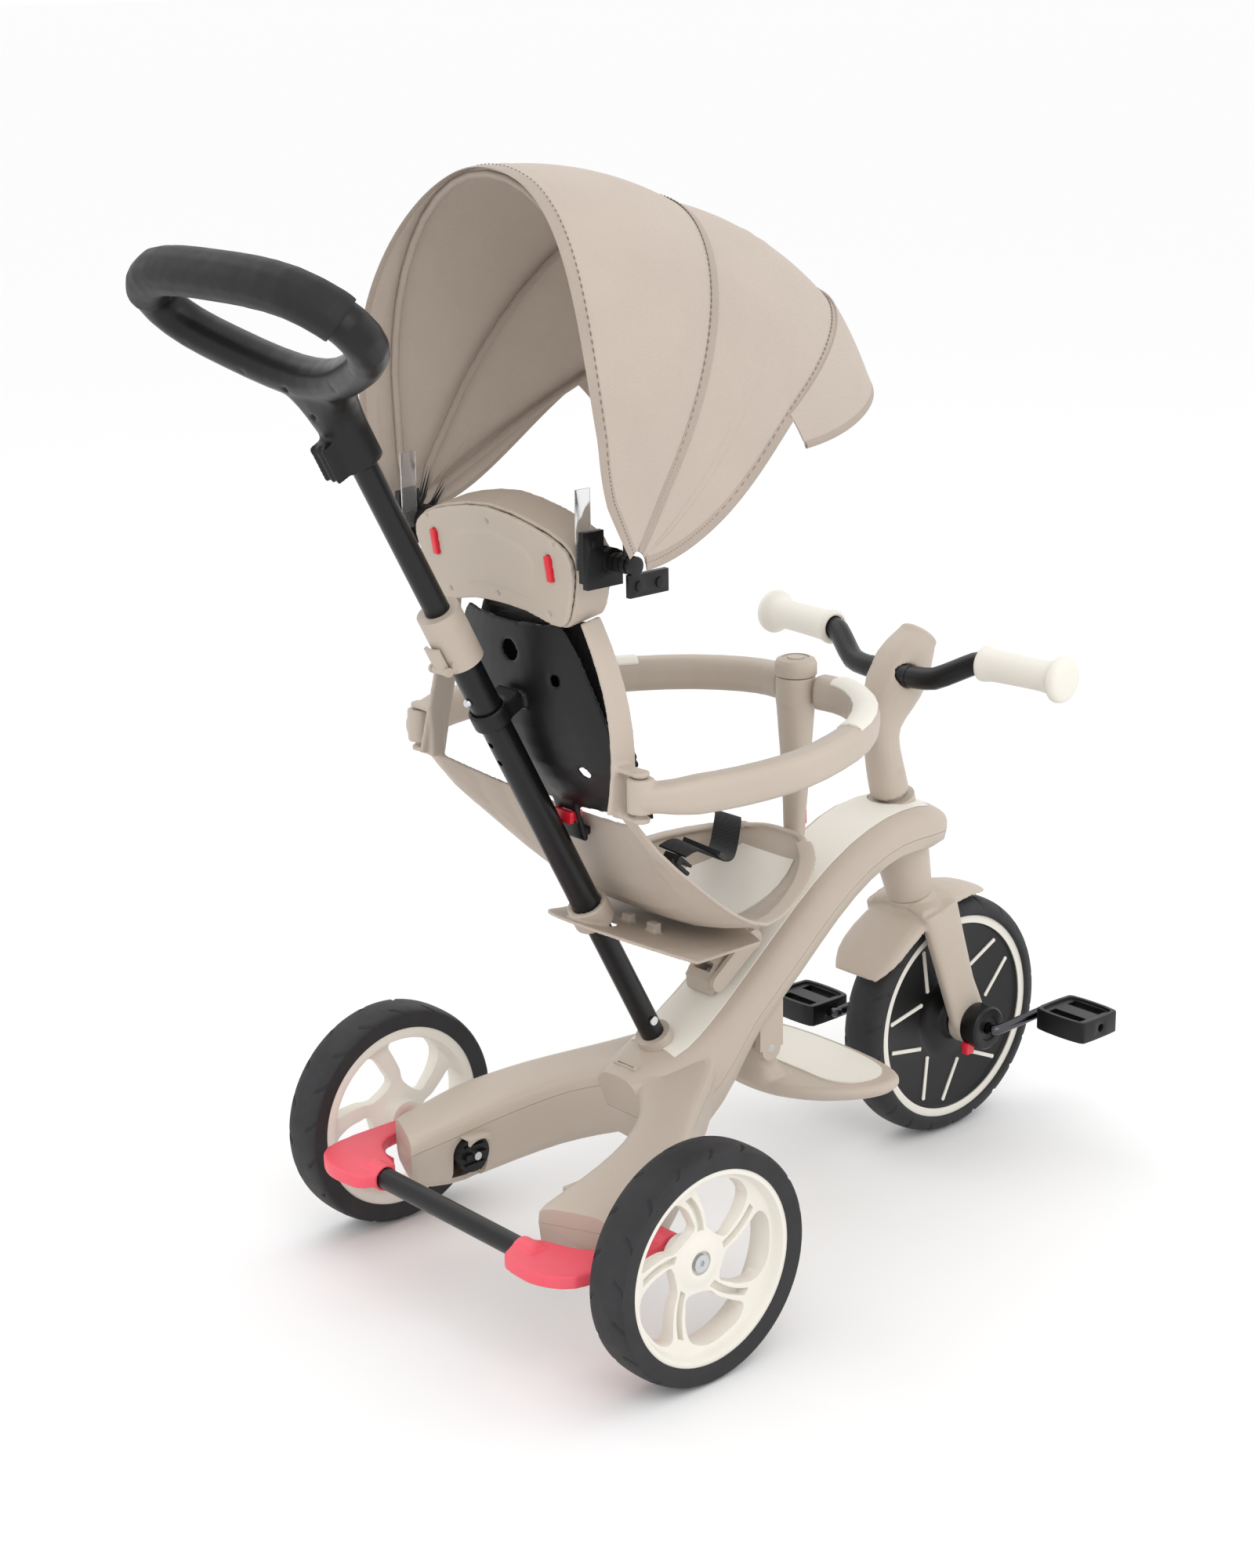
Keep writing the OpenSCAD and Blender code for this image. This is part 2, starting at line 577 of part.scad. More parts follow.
module head_button(q) {
  color(red) place() head_frame() {
    translate([q[0] - 2.9, q[1] - 11.2, -6]) cube([5.8, 22.4, 9]);
  }
}
module headrest_button_left() {
  head_button(head_slots[0]);
}
module headrest_button_right() {
  head_button(head_slots[1]);
}

// ---- Canopy ----
hinge = [-4, 0, 705];
hinge_y = 158;
// Bow: angle from the vertical, height of its arch above the hinge, half width
bow_rear = [-3, 303, 152];
bow_mid = [32, 312, 148];
bow_front = [63, 380, 148];
arch_foot = 90;
function arch(b, k,
  n = 24) = // k grows the arch outwards; from the right hinge over the top to the left one
  let(w = b[2] + k, h = b[1] + k - arch_foot)
  concat([[-w, 12]], [[-w, 50]], [for (i = [0:n]) [-w * cos(180 * i / n),
    arch_foot + h * sin(180 * i / n)]],
    [[w, 50]], [[w, 12]]);
function bow_pt(b, q, da = 0) = hinge + [q[1] * sin(b[0] + da), q[0], q[1] * cos(b[0] + da)];
module bow(b, y_end) {
  n = 20;
  p = concat([[-y_end, 0]], [[-y_end, 18]], [[-b[2], 46]],
    [for (i = [1:n - 1]) [-b[2] * cos(180 * i / n), arch_foot + (b[1] - arch_foot) * sin(180 * i / n)]],
    [[b[2], 46]], [[y_end, 18]], [[y_end, 0]]);
  loft(path_rings([for (q = p) bow_pt(b, q)], bow_pt([b[0] + 90, 0, 0], [0, 1]) - hinge, bow_r, bow_r, 2,
    8));
}
module hinged_bow(b, y0) {
  difference() {
    union() {
      bow(b, y0 + 3);
      both_sides() y_bar(hinge[0], hinge[2], y0, y0 + 6, 8);
    }
    y_bar(hinge[0], hinge[2], -200, 200, 4 + fit);
  }
}
module canopy_bow_rear() {
  color(dark) place() hinged_bow(bow_rear, 142.5);
}
module canopy_bow_mid() {
  color(dark) place() hinged_bow(bow_mid, 135.5);
}
module canopy_bow_front() {
  color(dark) place() hinged_bow(bow_front, 128.5);
}
module canopy_brackets() {
  color(black) place() both_sides() {
    head_frame() translate([104, 12, 18]) rotate([0, 90, 0]) cylinder(h = 16.5, r = 12.9);
    translate([-30, 119.5, 684]) cube([38, 6, 28]);
    translate([-34, 119.5, 690]) cube([22, 6, 42]);
    y_bar(hinge[0], hinge[2], 119.5, 127.5, 11);
    y_bar(hinge[0], hinge[2], 120, 152, 4);
    y_bar(hinge[0], hinge[2], 149.5, 155.5, 8);
    // Lower plate with its screws
    translate([-10, 149.5, 679]) cube([42, 5, 19]);
    for (x = [0, 22]) y_bar(x, 688, 154, 156.5, 4.5);
    y_bar(-23, 722, 125, 128, 4);
    // Clear stay up to the rear hem
    translate([-34, 115.5, 700]) cube([16, 1.2, 66]);
    translate([-30, 116.5, 704]) cube([10, 3.5, 10]);
  }
}
// Angle of the fabric's rear edge at a height above the hinge: it hangs back at the sides
function hem_back(r) = r < 110 ? -26 + 8 * max(0, (r - 60) / 50) : -3 - 15 * pow((300 - min(300,
  r)) / 190, 1.2);
// The front hem hangs below the front bow near the hinge
function hem_front(r) = 63 + 29 * pow((230 - min(230, r)) / 230, 1.8);
function panel_grid(b0, b1, us, k, rear) = [for (u = us)
  let(a0 = arch(b0, k), a1 = arch(b1, k))
  [for (i = [0:len(a0) - 1]) let(q = mix(a0[i], a1[i], u),
    da = rear ? mix(hem_back(a0[i][1]), b1[0], u) : mix(b0[0], hem_front(a1[i][1]), u))
    hinge + [q[1] * sin(da), q[0], q[1] * cos(da)]]];
module fabric_panel(b0, b1, us, rear) {
  slab(panel_grid(b0, b1, us, 5.2, rear), panel_grid(b0, b1, us, 5.2 + fabric_t, rear));
}
module canopy_panel_rear() {
  color(fabric) place() fabric_panel(bow_rear, bow_mid, [0, 0.25, 0.5, 0.75, 0.985], true);
}
module canopy_panel_front() {
  color(fabric) place() fabric_panel(bow_mid, bow_front, [0.015, 0.25, 0.5, 0.75, 1], false);
}
module canopy_visor() {
  g = [for (u = [0:0.25:1]) [for (i = [-8:8]) let(t = i / 8,
    r = (bow_front[1] + 7.3 - arch_foot) * cos(66 * t) + arch_foot,
    w = (bow_front[2] + 7.3) * sin(66 * t), a = 62.4 + 14 * u * (1 - 0.3 * pow(abs(t), 6)),
      rr = r * (1 + 0.055 * u))
    hinge + [rr * sin(a), w * (1 - 0.05 * u), rr * cos(a)]]];
  color(fabric) place() slab(g, grid_offset(g, fabric_t));
}

// ---- Safety ring ----
ring_plan = [[2, 150], [24, 170], [60, 182], [105, 188], [155, 186], [211, 171], [262, 149], [306, 115],
  [334, 76], [343, 46], [341, 22]];
ring_z = 508;
ring_line = [for (q = spline(ring_plan, 2)) [q[0], q[1], ring_z]];
function ring_h(i) = i < 3 ? mix(11, 17, i / 3) : 17;
module ring_arm() {
  n = len(ring_line);
  difference() {
    union() {
      loft(path_rings(ring_line, [0, 0, 1], [for (i = [0:n - 1]) ring_h(i)], 13.5, 2.8, 14));
      translate([ring_pin[0], ring_pin[1], ring_z - 13.5]) cylinder(h = 30, r = 11.5);
    }
    translate([ring_pin[0], ring_pin[1], 400]) cylinder(h = 200, r = 4 + fit);
    translate([331, 0, 400]) cylinder(h = 200, r = 19.4);
    // Clear of the side band of the seat
    translate([-60, 0, 400]) cube([200, 132.5, 200]);
  }
}
module ring_cap(i0, i1) {
  p = [for (i = [i0:i1]) ring_line[i]];
  c = path_rings(p, [0, 0, 1], 17, 13.5, 2.8, 14);
  // The top arc of the arm's own section, raised by the thickness of the soft cap
  loft([for (r = c)
    let(k = r[0][2] > ring_z ? 7 : 0,
      top = [for (j = [0:13]) let(q = r[(j + k) % 14]) if (q[2] > ring_z + 8) q])
    concat([for (q = top) q + [0, 0, 1.8]], [for (j = [len(top) - 1:-1:0]) top[j] + [0, 0, 0.1]])]);
}
module ring_arm_left() {
  color(taupe) place() ring_arm();
}
module ring_arm_right() {
  color(taupe) place() mirror([0, 1, 0]) ring_arm();
}
module ring_inlay_left() {
  color(cream) place() ring_cap(5, 12);
}
module ring_inlay_right() {
  color(cream) place() mirror([0, 1, 0]) ring_cap(11, 18);
}
module ring_post() {
  color(taupe) place() difference() {
    union() {
      loft(path_rings(spline([[329.5, 0, 364], [330, 0, 392], [331, 0, 430], [331, 0, 470], [331, 0,
        500]], 3),
        [0, 1, 0], [11, 11.5, 12, 12.6, 13.4, 14.2, 15, 15.7, 16.4, 17, 17.6, 18.2, 18.8],
        [8.7, 9, 9.3, 9.6, 10.2, 11, 12, 13.2, 14.4, 15.6, 16.6, 17.6, 18.8], 2.2, 16));
      translate([331, 0, 496]) cylinder(h = 26, r = 19);
      translate([331, 0, 520]) cylinder(h = 12, r = 5);
      translate([331, 0, 520]) cylinder(h = 2.5, r = 12);
    }
    translate([329, -5.6, 374]) cube([30, 11.2, 14.6]);
  }
}
module ring_post_button() {
  color(red) place() {
    translate([332.3, -5.3, 374.4]) cube([9, 10.6, 13.8]);
  }
}
module ring_knob() {
  color(taupe) place() difference() {
    translate([331, 0, 0]) rotate_extrude() polygon([[0, 523], [19.5, 523], [20, 524], [20, 534], [18,
      538], [13, 540],
      [13, 538.8], [8, 538.8], [8, 540], [0, 540]]);
    translate([331, 0, 500]) cylinder(h = 33, r = 5 + fit);
  }
}

// ---- Seat clamp ----
module seat_clamp() {
  side = [[204, 236.8], [219, 245.8], [246, 266.8], [264, 281.2], [272, 296], [274, 337.2], [232, 329.4],
    [226, 300],
    [222, 280], [212, 266], [202, 252]];
  color(taupe) place() difference() {
    union() {
      translate([0, 17, 0]) rotate([90, 0, 0]) linear_extrude(34) polygon(side);
      y_bar(250, 285, -21, 21, 11);
    }
    // Slot through which the clamping band shows
    translate([212, 0, 262]) rotate([0, 45, 0]) cube([46, 22, 9], center = true);
    y_bar(250, 285, -40, 40, 4 + fit);
  }
}
module quick_release_lever() {
  color(taupe) place() {
    y_bar(250, 285, -27, 27, 4);
    y_bar(250, 285, 21.3, 26, 8);
    // Blade along the right side of the clamp, just above the spine
    translate([250, -27.5, 285]) rotate([0, -36, 0]) {
      rotate([-90, 0, 0]) cylinder(h = 5, r = 10);
      translate([-54, 0, -8.5]) cube([52, 5, 18]);
      translate([-54, 0, 0.5]) rotate([-90, 0, 0]) cylinder(h = 5, r = 9);
    }
  }
}

// ---- Steering ----
module fork_leg_rings() {
  loft(path_rings([[495, 37, 258], [501, 38, 236], [513, 38.4, 200], [524, 38.4, 168], [535, 38.4, 142],
    [541, 38.4, 127]],
    [0, 1, 0], [8, 8.6, 8.6, 8.6, 8.6, 8.6], [24, 23, 21.5, 20.5, 21.5, 22], 3.4, 14));
}
fender_rows = spline([[70, 17, 131, 5], [80, 27, 130, 9], [96, 34, 130, 12], [113, 38, 131, 13],
  [130, 41, 134, 13], [142, 39, 139, 11], [150, 28, 144, 8]], 2);
function fender_ring(s) = let(r = [cos(s[0]), 0, sin(s[0])], c = front_c + r * s[2])
  concat([for (t = [0:22.5:180]) sup(c, [0, 1, 0], r, s[1], s[3], 2.6, t)],
    [for (t = [180:-22.5:0]) sup(c, [0, 1, 0], r, s[1] - 3, s[3] - 3, 2.6, t)]);
module fork() {
  color(taupe) place() {
    difference() {
      union() {
        both_sides() {
          fork_leg_rings();
          y_bar(front_c[0], front_c[2], 30, 47, 22);
        }
        loft(path_rings([for (y = [-36, -20, 0, 20, 36]) [497 - abs(y) * 0.06, y, 258.4 - y * y * 0.004]],
          [1, 0, 0], 22, 6.6, 2.6, 12));
        bar(steer_pt(256), steer_pt(267.3), 23);
        loft([for (s = fender_rows) fender_ring(s)]);
      }
      y_bar(front_c[0], front_c[2], -60, 60, 7);
    }
    pipe(steer_pt(266), steer_pt(440), steerer_r, steerer_r - 2.5);
  }
}
stem_line = spline([[461.4, 0, 378.4], [456.6, 0, 396], [450, 0, 424], [448, 0, 449], [458, 0, 474],
  [472, 0, 497],
  [486, 0, 516], [497, 0, 527]], 2);
bar_x = 460.6;
bar_z = 501.1;
module stem() {
  color(taupe) place() difference() {
    union() {
      loft(path_rings(stem_line, [0, 1, 0], [18.6, 18.6, 18.4, 18, 17.4, 17, 17.5, 19.5, 23, 26, 27,
        26.5, 24.5, 22, 20],
        [18.6, 18.6, 18.4, 17.8, 17, 17.5, 20, 23.5, 27, 29, 29, 27, 24, 21, 19.5], 2.3, 18));
      align([494, 0, 524.5], [0.66, 0, 0.75]) rotate_extrude() polygon([[0, 0], [19, 0], [19.6, 1],
        [19.6, 9], [17.5, 11],
        [14, 11.6], [0, 11.6]]);
      align([459.6, -16, 404.6], [0, -1, 0]) cylinder(h = 3.4, r = 4.5);
    }
    bar(steer_pt(370), steer_pt(440), steerer_r);
    bar([bar_x, -40, bar_z], [bar_x, 40, bar_z], 11.3);
  }
}
grip_in = [483.2, 98, 523.7];
grip_out = [490.3, 198, 523.6];
grip_dir = unit(grip_out - grip_in);
module handlebar_tube() {
  bend = spline([[bar_x, 26, bar_z], [bar_x + 0.4, 36, bar_z + 0.3], [464, 54, 503.5], [473, 74, 513.5],
    [480.5, 90, 522],
    [483.2, 100, 523.7], grip_in + 10 * grip_dir], 2);
  color(black) place() {
    bar([bar_x, -27, bar_z], [bar_x, 27, bar_z], 11.3);
    both_sides() {
      loft(path_rings(bend, [0.9, 0, -0.4], 11, 11, 2, 14));
      bar(grip_in + 8 * grip_dir, grip_out - 6 * grip_dir, 10.6);
    }
  }
}
module grips() {
  l = norm(grip_out - grip_in);
  color(cream) place() both_sides() difference() {
    align(grip_in, grip_dir) rotate_extrude() polygon([for (q = concat([[0, 0]], spline([[14, 0], [17,
      2], [17.4, 5],
      [16.6, 9], [grip_r + 0.6, 16], [grip_r, 40], [grip_r - 0.2, 66], [grip_r + 0.8, 80], [18, 85],
        [21.6, 88], [22.2, 92],
      [20, 96.5], [14, 99], [6, 99.8]], 3), [[0, 100]])) [max(0, q[0]), q[1] * l / 100]]);
    bar(grip_in - 5 * grip_dir, grip_out - 5.9 * grip_dir, 11.1);
    bar(grip_in - 10 * grip_dir, grip_in + grip_dir, 13.2);
    bar(grip_in, grip_in + 12 * grip_dir, 11.9);
  }
}
module hub_caps() {
  color(black) place() both_sides() difference() {
    union() {
      translate([front_c[0], 47, front_c[2]]) rotate([-90, 0, 0]) rotate_extrude() polygon([[0, 0], [22,
        0], [22.5, 1],
        [22.5, 18], [20.5, 20], [13, 20], [12, 18], [0, 18]]);
      // Clutch tabs under the hub
      for (k = [-1, 1]) translate([front_c[0] + k * 14 - 5, 47.2, front_c[2] - 27]) cube([10, 8, 12]);
    }
    y_bar(front_c[0], front_c[2], 20, 80, 6 + fit);
  }
}

// ---- Front wheel ----
function tyre_half(r, w, drop, n) = [for (i = [0:n]) let(t = 90 - 90 * i / n)
  [r - drop * (1 - pow(cos(90 - t), 0.8)), w / 2 * pow(cos(t), 0.8)]];
function tyre_profile(r, ri, w, drop, n = 8) = let(h = tyre_half(r, w, drop, n))
  concat([for (q = h) [q[0], q[1]]], [[ri, w / 2 - 2]], [[ri, -w / 2 + 2]], [for (i = [n:-1:1]) [h[i][0],
    -h[i][1]]]);
module wheel_frame(c) {
  translate(c) rotate([-90, 0, 0]) children();
}
front_seat_r = 106.8;
module front_tyre() {
  color(dark) place() wheel_frame(front_c)
    rotate_extrude($fn = 96) polygon(tyre_profile(front_r, front_seat_r, front_tyre_w, 16));
}
module front_wheel_disc() {
  color(black) place() wheel_frame(front_c) difference() {
    rotate_extrude($fn = 96) polygon([[0, -27], [20, -27], [24, -20], [42, -14], [50, -15.5], [97,
      -15.5], [98.7, -18.5],
      [front_seat_r, -18.5], [front_seat_r, 18.5], [98.7, 18.5], [97, 15.5], [50, 15.5], [42, 14], [24,
        20], [20, 27],
      [0, 27]]);
    translate([0, 0, -50]) cylinder(h = 100, r = 6 + fit);
  }
}
module front_wheel_inlay() {
  color(cream) place() wheel_frame(front_c) for (m = [0, 1]) mirror([0, 0, m]) {
    translate([0, 0, 18.5]) difference() {
      cylinder(h = 1.4, r = 106.8, $fn = 96);
      translate([0, 0, -1]) cylinder(h = 4, r = 98.7, $fn = 96);
    }
    for (k = [0:4]) for (s = [-1, 1]) {
      a0 = -37 - 72 * k + s * 27;
      a1 = -37 - 72 * k + s * 10;
      p = [52 * cos(a0), 52 * sin(a0)];
      q = [90 * cos(a1), 90 * sin(a1)];
      translate([0, 0, 15.5]) {
        for (e = [p, q]) translate(e) cylinder(h = 1.2, r = 2.2, $fn = 20);
        translate(p) rotate([0, 0, atan2(q[1] - p[1], q[0] - p[0])])
          translate([0, -1.9, 0]) cube([norm(q - p), 3.8, 1.2]);
      }
    }
  }
}
crank_v = [crank_r * cos(crank_a), 0, crank_r * sin(crank_a)];
module crank() {
  color(steel) place() {
    y_bar(front_c[0], front_c[2], -72, 72, 6);
    for (k = [-1, 1]) {
      end = front_c - k * crank_v;
      y_bar(front_c[0], front_c[2], k * 68.6, k * 80, 8);
      bar(front_c + [0, 74 * k, 0], end + [0, 89.5 * k, 0], 5);
      y_bar(end[0], end[2], k * 84, k * 95, 7);
      y_bar(end[0], end[2], k * 90, k * 156, 4);
    }
  }
}
module pedal(k) {
  c = front_c + [0, 128 * k, 0] - k * crank_v;
  outline = spline_loop([[-27, -27], [-29, 0], [-27, 27], [-20, 31], [0, 32], [20, 31], [27, 27], [29,
    0], [27, -27],
    [20, -31], [0, -31.5], [-20, -31]], 2);
  color(black) place() translate(c) difference() {
    translate([0, 0, -11]) linear_extrude(22) polygon(outline);
    for (m = [0, 1]) mirror([0, 0, m]) {
      translate([0, 0, 8.5]) linear_extrude(4) polygon([for (q = outline) q * 0.86]);
      for (x = [-15.5, 15.5]) translate([x, 0, 3]) linear_extrude(8) square([13, 40], center = true);
    }
    rotate([90, 0, 0]) cylinder(h = 80, r = 4 + fit, center = true);
  }
}
module pedal_left() {
  pedal(1);
}
module pedal_right() {
  pedal(-1);
}

// ---- Rear wheels ----
rear_seat_r = 88.7;
function window_pt(r, side) = let(a = spoke_swirl * (r - 26) / 56, hw = 7.5 + 8 * pow(max(0,
  r - 50) / 28, 2),
  g = asin(min(0.9, hw / r)), step = 360 / spoke_count)
  side < 0 ? [r * cos(a + g), r * sin(a + g)] : [r * cos(a + step - g), r * sin(a + step - g)];
module spoke_window() {
  step = 360 / spoke_count;
  polygon(spline_loop(concat([for (r = [31.7, 44, 58, 71.6]) window_pt(r, -1)],
    [for (t = [0.3, 0.5, 0.7]) let(a = spoke_swirl * 50 / 56 + step * t) [77.5 * cos(a), 77.5 * sin(a)]],
    [for (r = [71.6, 58, 44, 31.7]) window_pt(r, 1)]), 3));
}
module spoke_groove() {
  polygon(concat([for (r = [29:6.5:68]) let(a = spoke_swirl * (r - 26) / 56 - asin(3.6 / r)) [r * cos(a),
    r * sin(a)]],
    [for (r = [68:-6.5:29]) let(a = spoke_swirl * (r - 26) / 56 + asin(3.6 / r)) [r * cos(a),
      r * sin(a)]]));
}
module rear_rim() {
  difference() {
    rotate_extrude($fn = 96) polygon([[0, -26], [17, -26], [19, -12], [30, -9], [74, -9], [79, -18],
      [rear_seat_r, -18],
      [rear_seat_r, 18], [84, 18], [80, 8], [70, 6], [26, 1], [16, 4], [0, 4]]);
    for (k = [0:spoke_count - 1]) rotate([0, 0, 360 / spoke_count * k]) {
      translate([0, 0, -30]) linear_extrude(60) spoke_window();
      translate([0, 0, -4]) linear_extrude(30) spoke_groove();
    }
    translate([0, 0, -40]) cylinder(h = 80, r = 6 + fit);
    translate([0, 0, 0.6]) cylinder(h = 10, r = 11);
  }
}
module rear_tyre() {
  difference() {
    rotate_extrude($fn = 96) polygon(tyre_profile(rear_r, rear_seat_r, rear_tyre_w, 5.5));
  }
}
// Wheel frame turned so that local Z points outwards
module rear_frame() {
  translate([0, rear_y, rear_r]) rotate([-90, 0, 0]) mirror([0, 1, 0]) rotate([0, 0, 12]) children();
}
module rear_rim_left() {
  color(cream) place() rear_frame() rear_rim();
}
module rear_rim_right() {
  color(cream) place() mirror([0, 1, 0]) rear_frame() rear_rim();
}
module rear_tyre_left() {
  color(dark) place() rear_frame() rear_tyre();
}
module rear_tyre_right() {
  color(dark) place() mirror([0, 1, 0]) rear_frame() rear_tyre();
}

// ---- Rear brake ----
brake_outline = spline_loop([[-125, 120], [-122, 106], [-110, 98], [-92, 97], [-80, 104], [-74, 122],
  [-66, 142],
  [-50, 157], [-25, 160], [0, 160], [6, 165], [6, 178], [0, 183], [-30, 184], [-70, 184], [-104, 178],
    [-120, 160],
  [-126, 140]], 2);
module brake_pedals() {
  color(coral) place() both_sides() difference() {
    union() {
      translate([0, 0, 103]) linear_extrude(13) polygon([for (q = brake_outline) [q[0], min(184, q[1])]]);
      y_bar(0, rear_r, 159, 184, 14);
      translate([-78, 138, 86]) cube([22, 14, 18]);
      y_bar(-96.2, 109, 96, 120, 12.5);
    }
    y_bar(0, rear_r, 150, 190, 6 + fit);
    y_bar(-96.2, 109, 80, 116, 10);
  }
}
module brake_bar() {
  color(black) place() difference() {
    y_bar(-96.2, 109, -116, 116, 10);
    y_bar(-96.2, 109, -117, 117, 8);
  }
}

// ---- Footrest ----
foot_plan = [[262, 0], [268, 40], [290, 78], [322, 104], [352, 112], [374, 100], [384, 70], [388, 35],
  [389, 0]];
foot_outline = spline_loop(concat(foot_plan, [for (i = [7:-1:1]) [foot_plan[i][0], -foot_plan[i][1]]]), 3);
function foot_layer(k, z) = [for (q = foot_outline) [326 + (q[0] - 326) * k, q[1] * k, z]];
module footrest_body() {
  color(taupe) place() {
    loft([foot_layer(0.86, 120), foot_layer(0.95, 123.5), foot_layer(1, 129), foot_layer(0.99, 134),
      foot_layer(0.95, 136.5)]);
    difference() {
      union() {
        loft([ring([284, 0, 131], [1, 0, 0], [0, 1, 0], 24, 34, 3, 20), ring([276, 0, 148], [1, 0, 0],
          [0, 1, 0], 16, 27, 3, 20),
          ring([269, 0, 164], [1, 0, 0], [0, 1, 0], 12, 25.5, 4, 20)]);
        y_bar(267, 172, -26, 26, 11.5);
      }
      y_bar(267, 172, -30, 30, 4 + fit);
    }
  }
}
module footrest_inlay() {
  keep = spline_loop([for (q = concat(foot_plan, [for (i = [7:-1:1]) [foot_plan[i][0], -foot_plan[i][1]]]))
    [max(309, 326 + (q[0] - 326) * 0.84), q[1] * 0.84]], 3);
  color(cream) place() translate([0, 0, 136.5]) linear_extrude(1.6) polygon(keep);
}

frame_upper_shell();
frame_lower_shell();
spine_inlay();
axle_hardware();
rod_lower_tube();
rod_mid_tube();
rod_clamp();
clamp_lever();
snap_button();
rod_upper_tube();
handle_frame();
handle_grip();
leg_knob();
seat_clamp();
quick_release_lever();
seat_shell();
seat_tray();
seat_inlay();
back_plate();
backrest_button();
back_cushion();
lap_belt();
belt_hardware();
headrest_box();
headrest_cover();
headrest_button_left();
headrest_button_right();
canopy_brackets();
canopy_bow_rear();
canopy_bow_mid();
canopy_bow_front();
canopy_panel_rear();
canopy_panel_front();
canopy_visor();
ring_arm_right();
ring_arm_left();
ring_inlay_right();
ring_inlay_left();
ring_post();
ring_post_button();
ring_knob();
fork();
stem();
handlebar_tube();
grips();
hub_caps();
front_wheel_disc();
front_wheel_inlay();
front_tyre();
crank();
pedal_left();
pedal_right();
rear_rim_left();
rear_tyre_left();
rear_rim_right();
rear_tyre_right();
brake_pedals();
brake_bar();
footrest_body();
footrest_inlay();
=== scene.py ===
"""Looks for a children's push tricycle with a parent handle, folding canopy and safety ring.

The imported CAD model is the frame: +X forward, +Y the rider's left, +Z up, metres. Every visible
CAD node gets a dressed copy with welded, smooth-shaded edges and a procedural material. The canopy,
cushion, belt, tyres and cranks are built here from the CAD sizes.
"""

import json
import math

import bmesh
import bpy
import numpy as np
from mathutils import Matrix, Vector


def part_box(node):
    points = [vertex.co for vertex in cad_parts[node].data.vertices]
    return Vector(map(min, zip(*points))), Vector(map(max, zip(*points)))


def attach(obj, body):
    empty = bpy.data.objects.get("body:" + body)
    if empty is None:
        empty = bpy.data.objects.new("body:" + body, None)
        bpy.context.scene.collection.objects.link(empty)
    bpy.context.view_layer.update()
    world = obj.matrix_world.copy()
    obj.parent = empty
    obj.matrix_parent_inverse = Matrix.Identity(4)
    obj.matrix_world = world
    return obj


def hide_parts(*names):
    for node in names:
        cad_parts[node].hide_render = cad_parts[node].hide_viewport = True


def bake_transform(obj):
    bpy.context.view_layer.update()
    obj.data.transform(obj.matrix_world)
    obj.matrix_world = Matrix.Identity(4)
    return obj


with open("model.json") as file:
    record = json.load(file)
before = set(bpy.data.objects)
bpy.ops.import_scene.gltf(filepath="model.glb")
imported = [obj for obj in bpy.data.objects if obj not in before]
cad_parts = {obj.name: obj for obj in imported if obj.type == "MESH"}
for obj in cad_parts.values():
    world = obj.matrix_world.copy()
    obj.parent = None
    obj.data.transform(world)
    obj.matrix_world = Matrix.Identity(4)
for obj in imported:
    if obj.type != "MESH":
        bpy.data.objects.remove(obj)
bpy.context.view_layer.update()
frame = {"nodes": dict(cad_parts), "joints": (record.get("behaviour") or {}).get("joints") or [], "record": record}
NODES = frame["nodes"]
BODY_OF = {n: b for b, ns in frame["record"]["behaviour"]["bodies"].items() for n in ns}
SLOT_OF = {s["node"]: s["material_slot"] for s in frame["record"]["subparts"]}
JOINTS = {j["name"]: j for j in frame["joints"]}


# ---- Materials ----
def shader(name, colour, roughness, **inputs):
    """A material with a Principled shader; inputs are its socket names with _ for a space."""
    mat = bpy.data.materials.new(name)
    mat.use_nodes = True
    node = mat.node_tree.nodes["Principled BSDF"]
    node.inputs["Base Color"].default_value = (*colour, 1)
    node.inputs["Roughness"].default_value = roughness
    for key, value in inputs.items():
        node.inputs[key.replace("_", " ")].default_value = value
    return mat, mat.node_tree, node


def link(tree, a, out, b, into):
    tree.links.new(a.outputs[out], b.inputs[into])


def noise(tree, scale, detail=4, rough=0.55):
    coords = tree.nodes.new("ShaderNodeTexCoord")
    tex = tree.nodes.new("ShaderNodeTexNoise")
    tex.inputs["Scale"].default_value = scale
    tex.inputs["Detail"].default_value = detail
    tex.inputs["Roughness"].default_value = rough
    link(tree, coords, "Object", tex, "Vector")
    return tex


def tint(tree, bsdf, colour, scale, spread):
    """Colour that drifts a little either side of colour, in patches 1/scale metres wide."""
    tex = noise(tree, scale)
    ramp = tree.nodes.new("ShaderNodeValToRGB")
    low, high = ramp.color_ramp.elements
    low.position, high.position = 0.3, 0.7
    low.color = (*[c * (1 - spread) for c in colour], 1)
    high.color = (*[min(1, c * (1 + spread)) for c in colour], 1)
    link(tree, tex, "Fac", ramp, "Fac")
    link(tree, ramp, "Color", bsdf, "Base Color")
    return ramp


def vary_roughness(tree, bsdf, low, high, scale):
    tex = noise(tree, scale, 3)
    span = tree.nodes.new("ShaderNodeMapRange")
    span.inputs["To Min"].default_value = low
    span.inputs["To Max"].default_value = high
    link(tree, tex, "Fac", span, "Value")
    link(tree, span, "Result", bsdf, "Roughness")


def add_bump(tree, bsdf, height, out, distance, strength=1.0):
    bump = tree.nodes.new("ShaderNodeBump")
    bump.inputs["Distance"].default_value = distance
    bump.inputs["Strength"].default_value = strength
    link(tree, height, out, bump, "Height")
    link(tree, bump, "Normal", bsdf, "Normal")


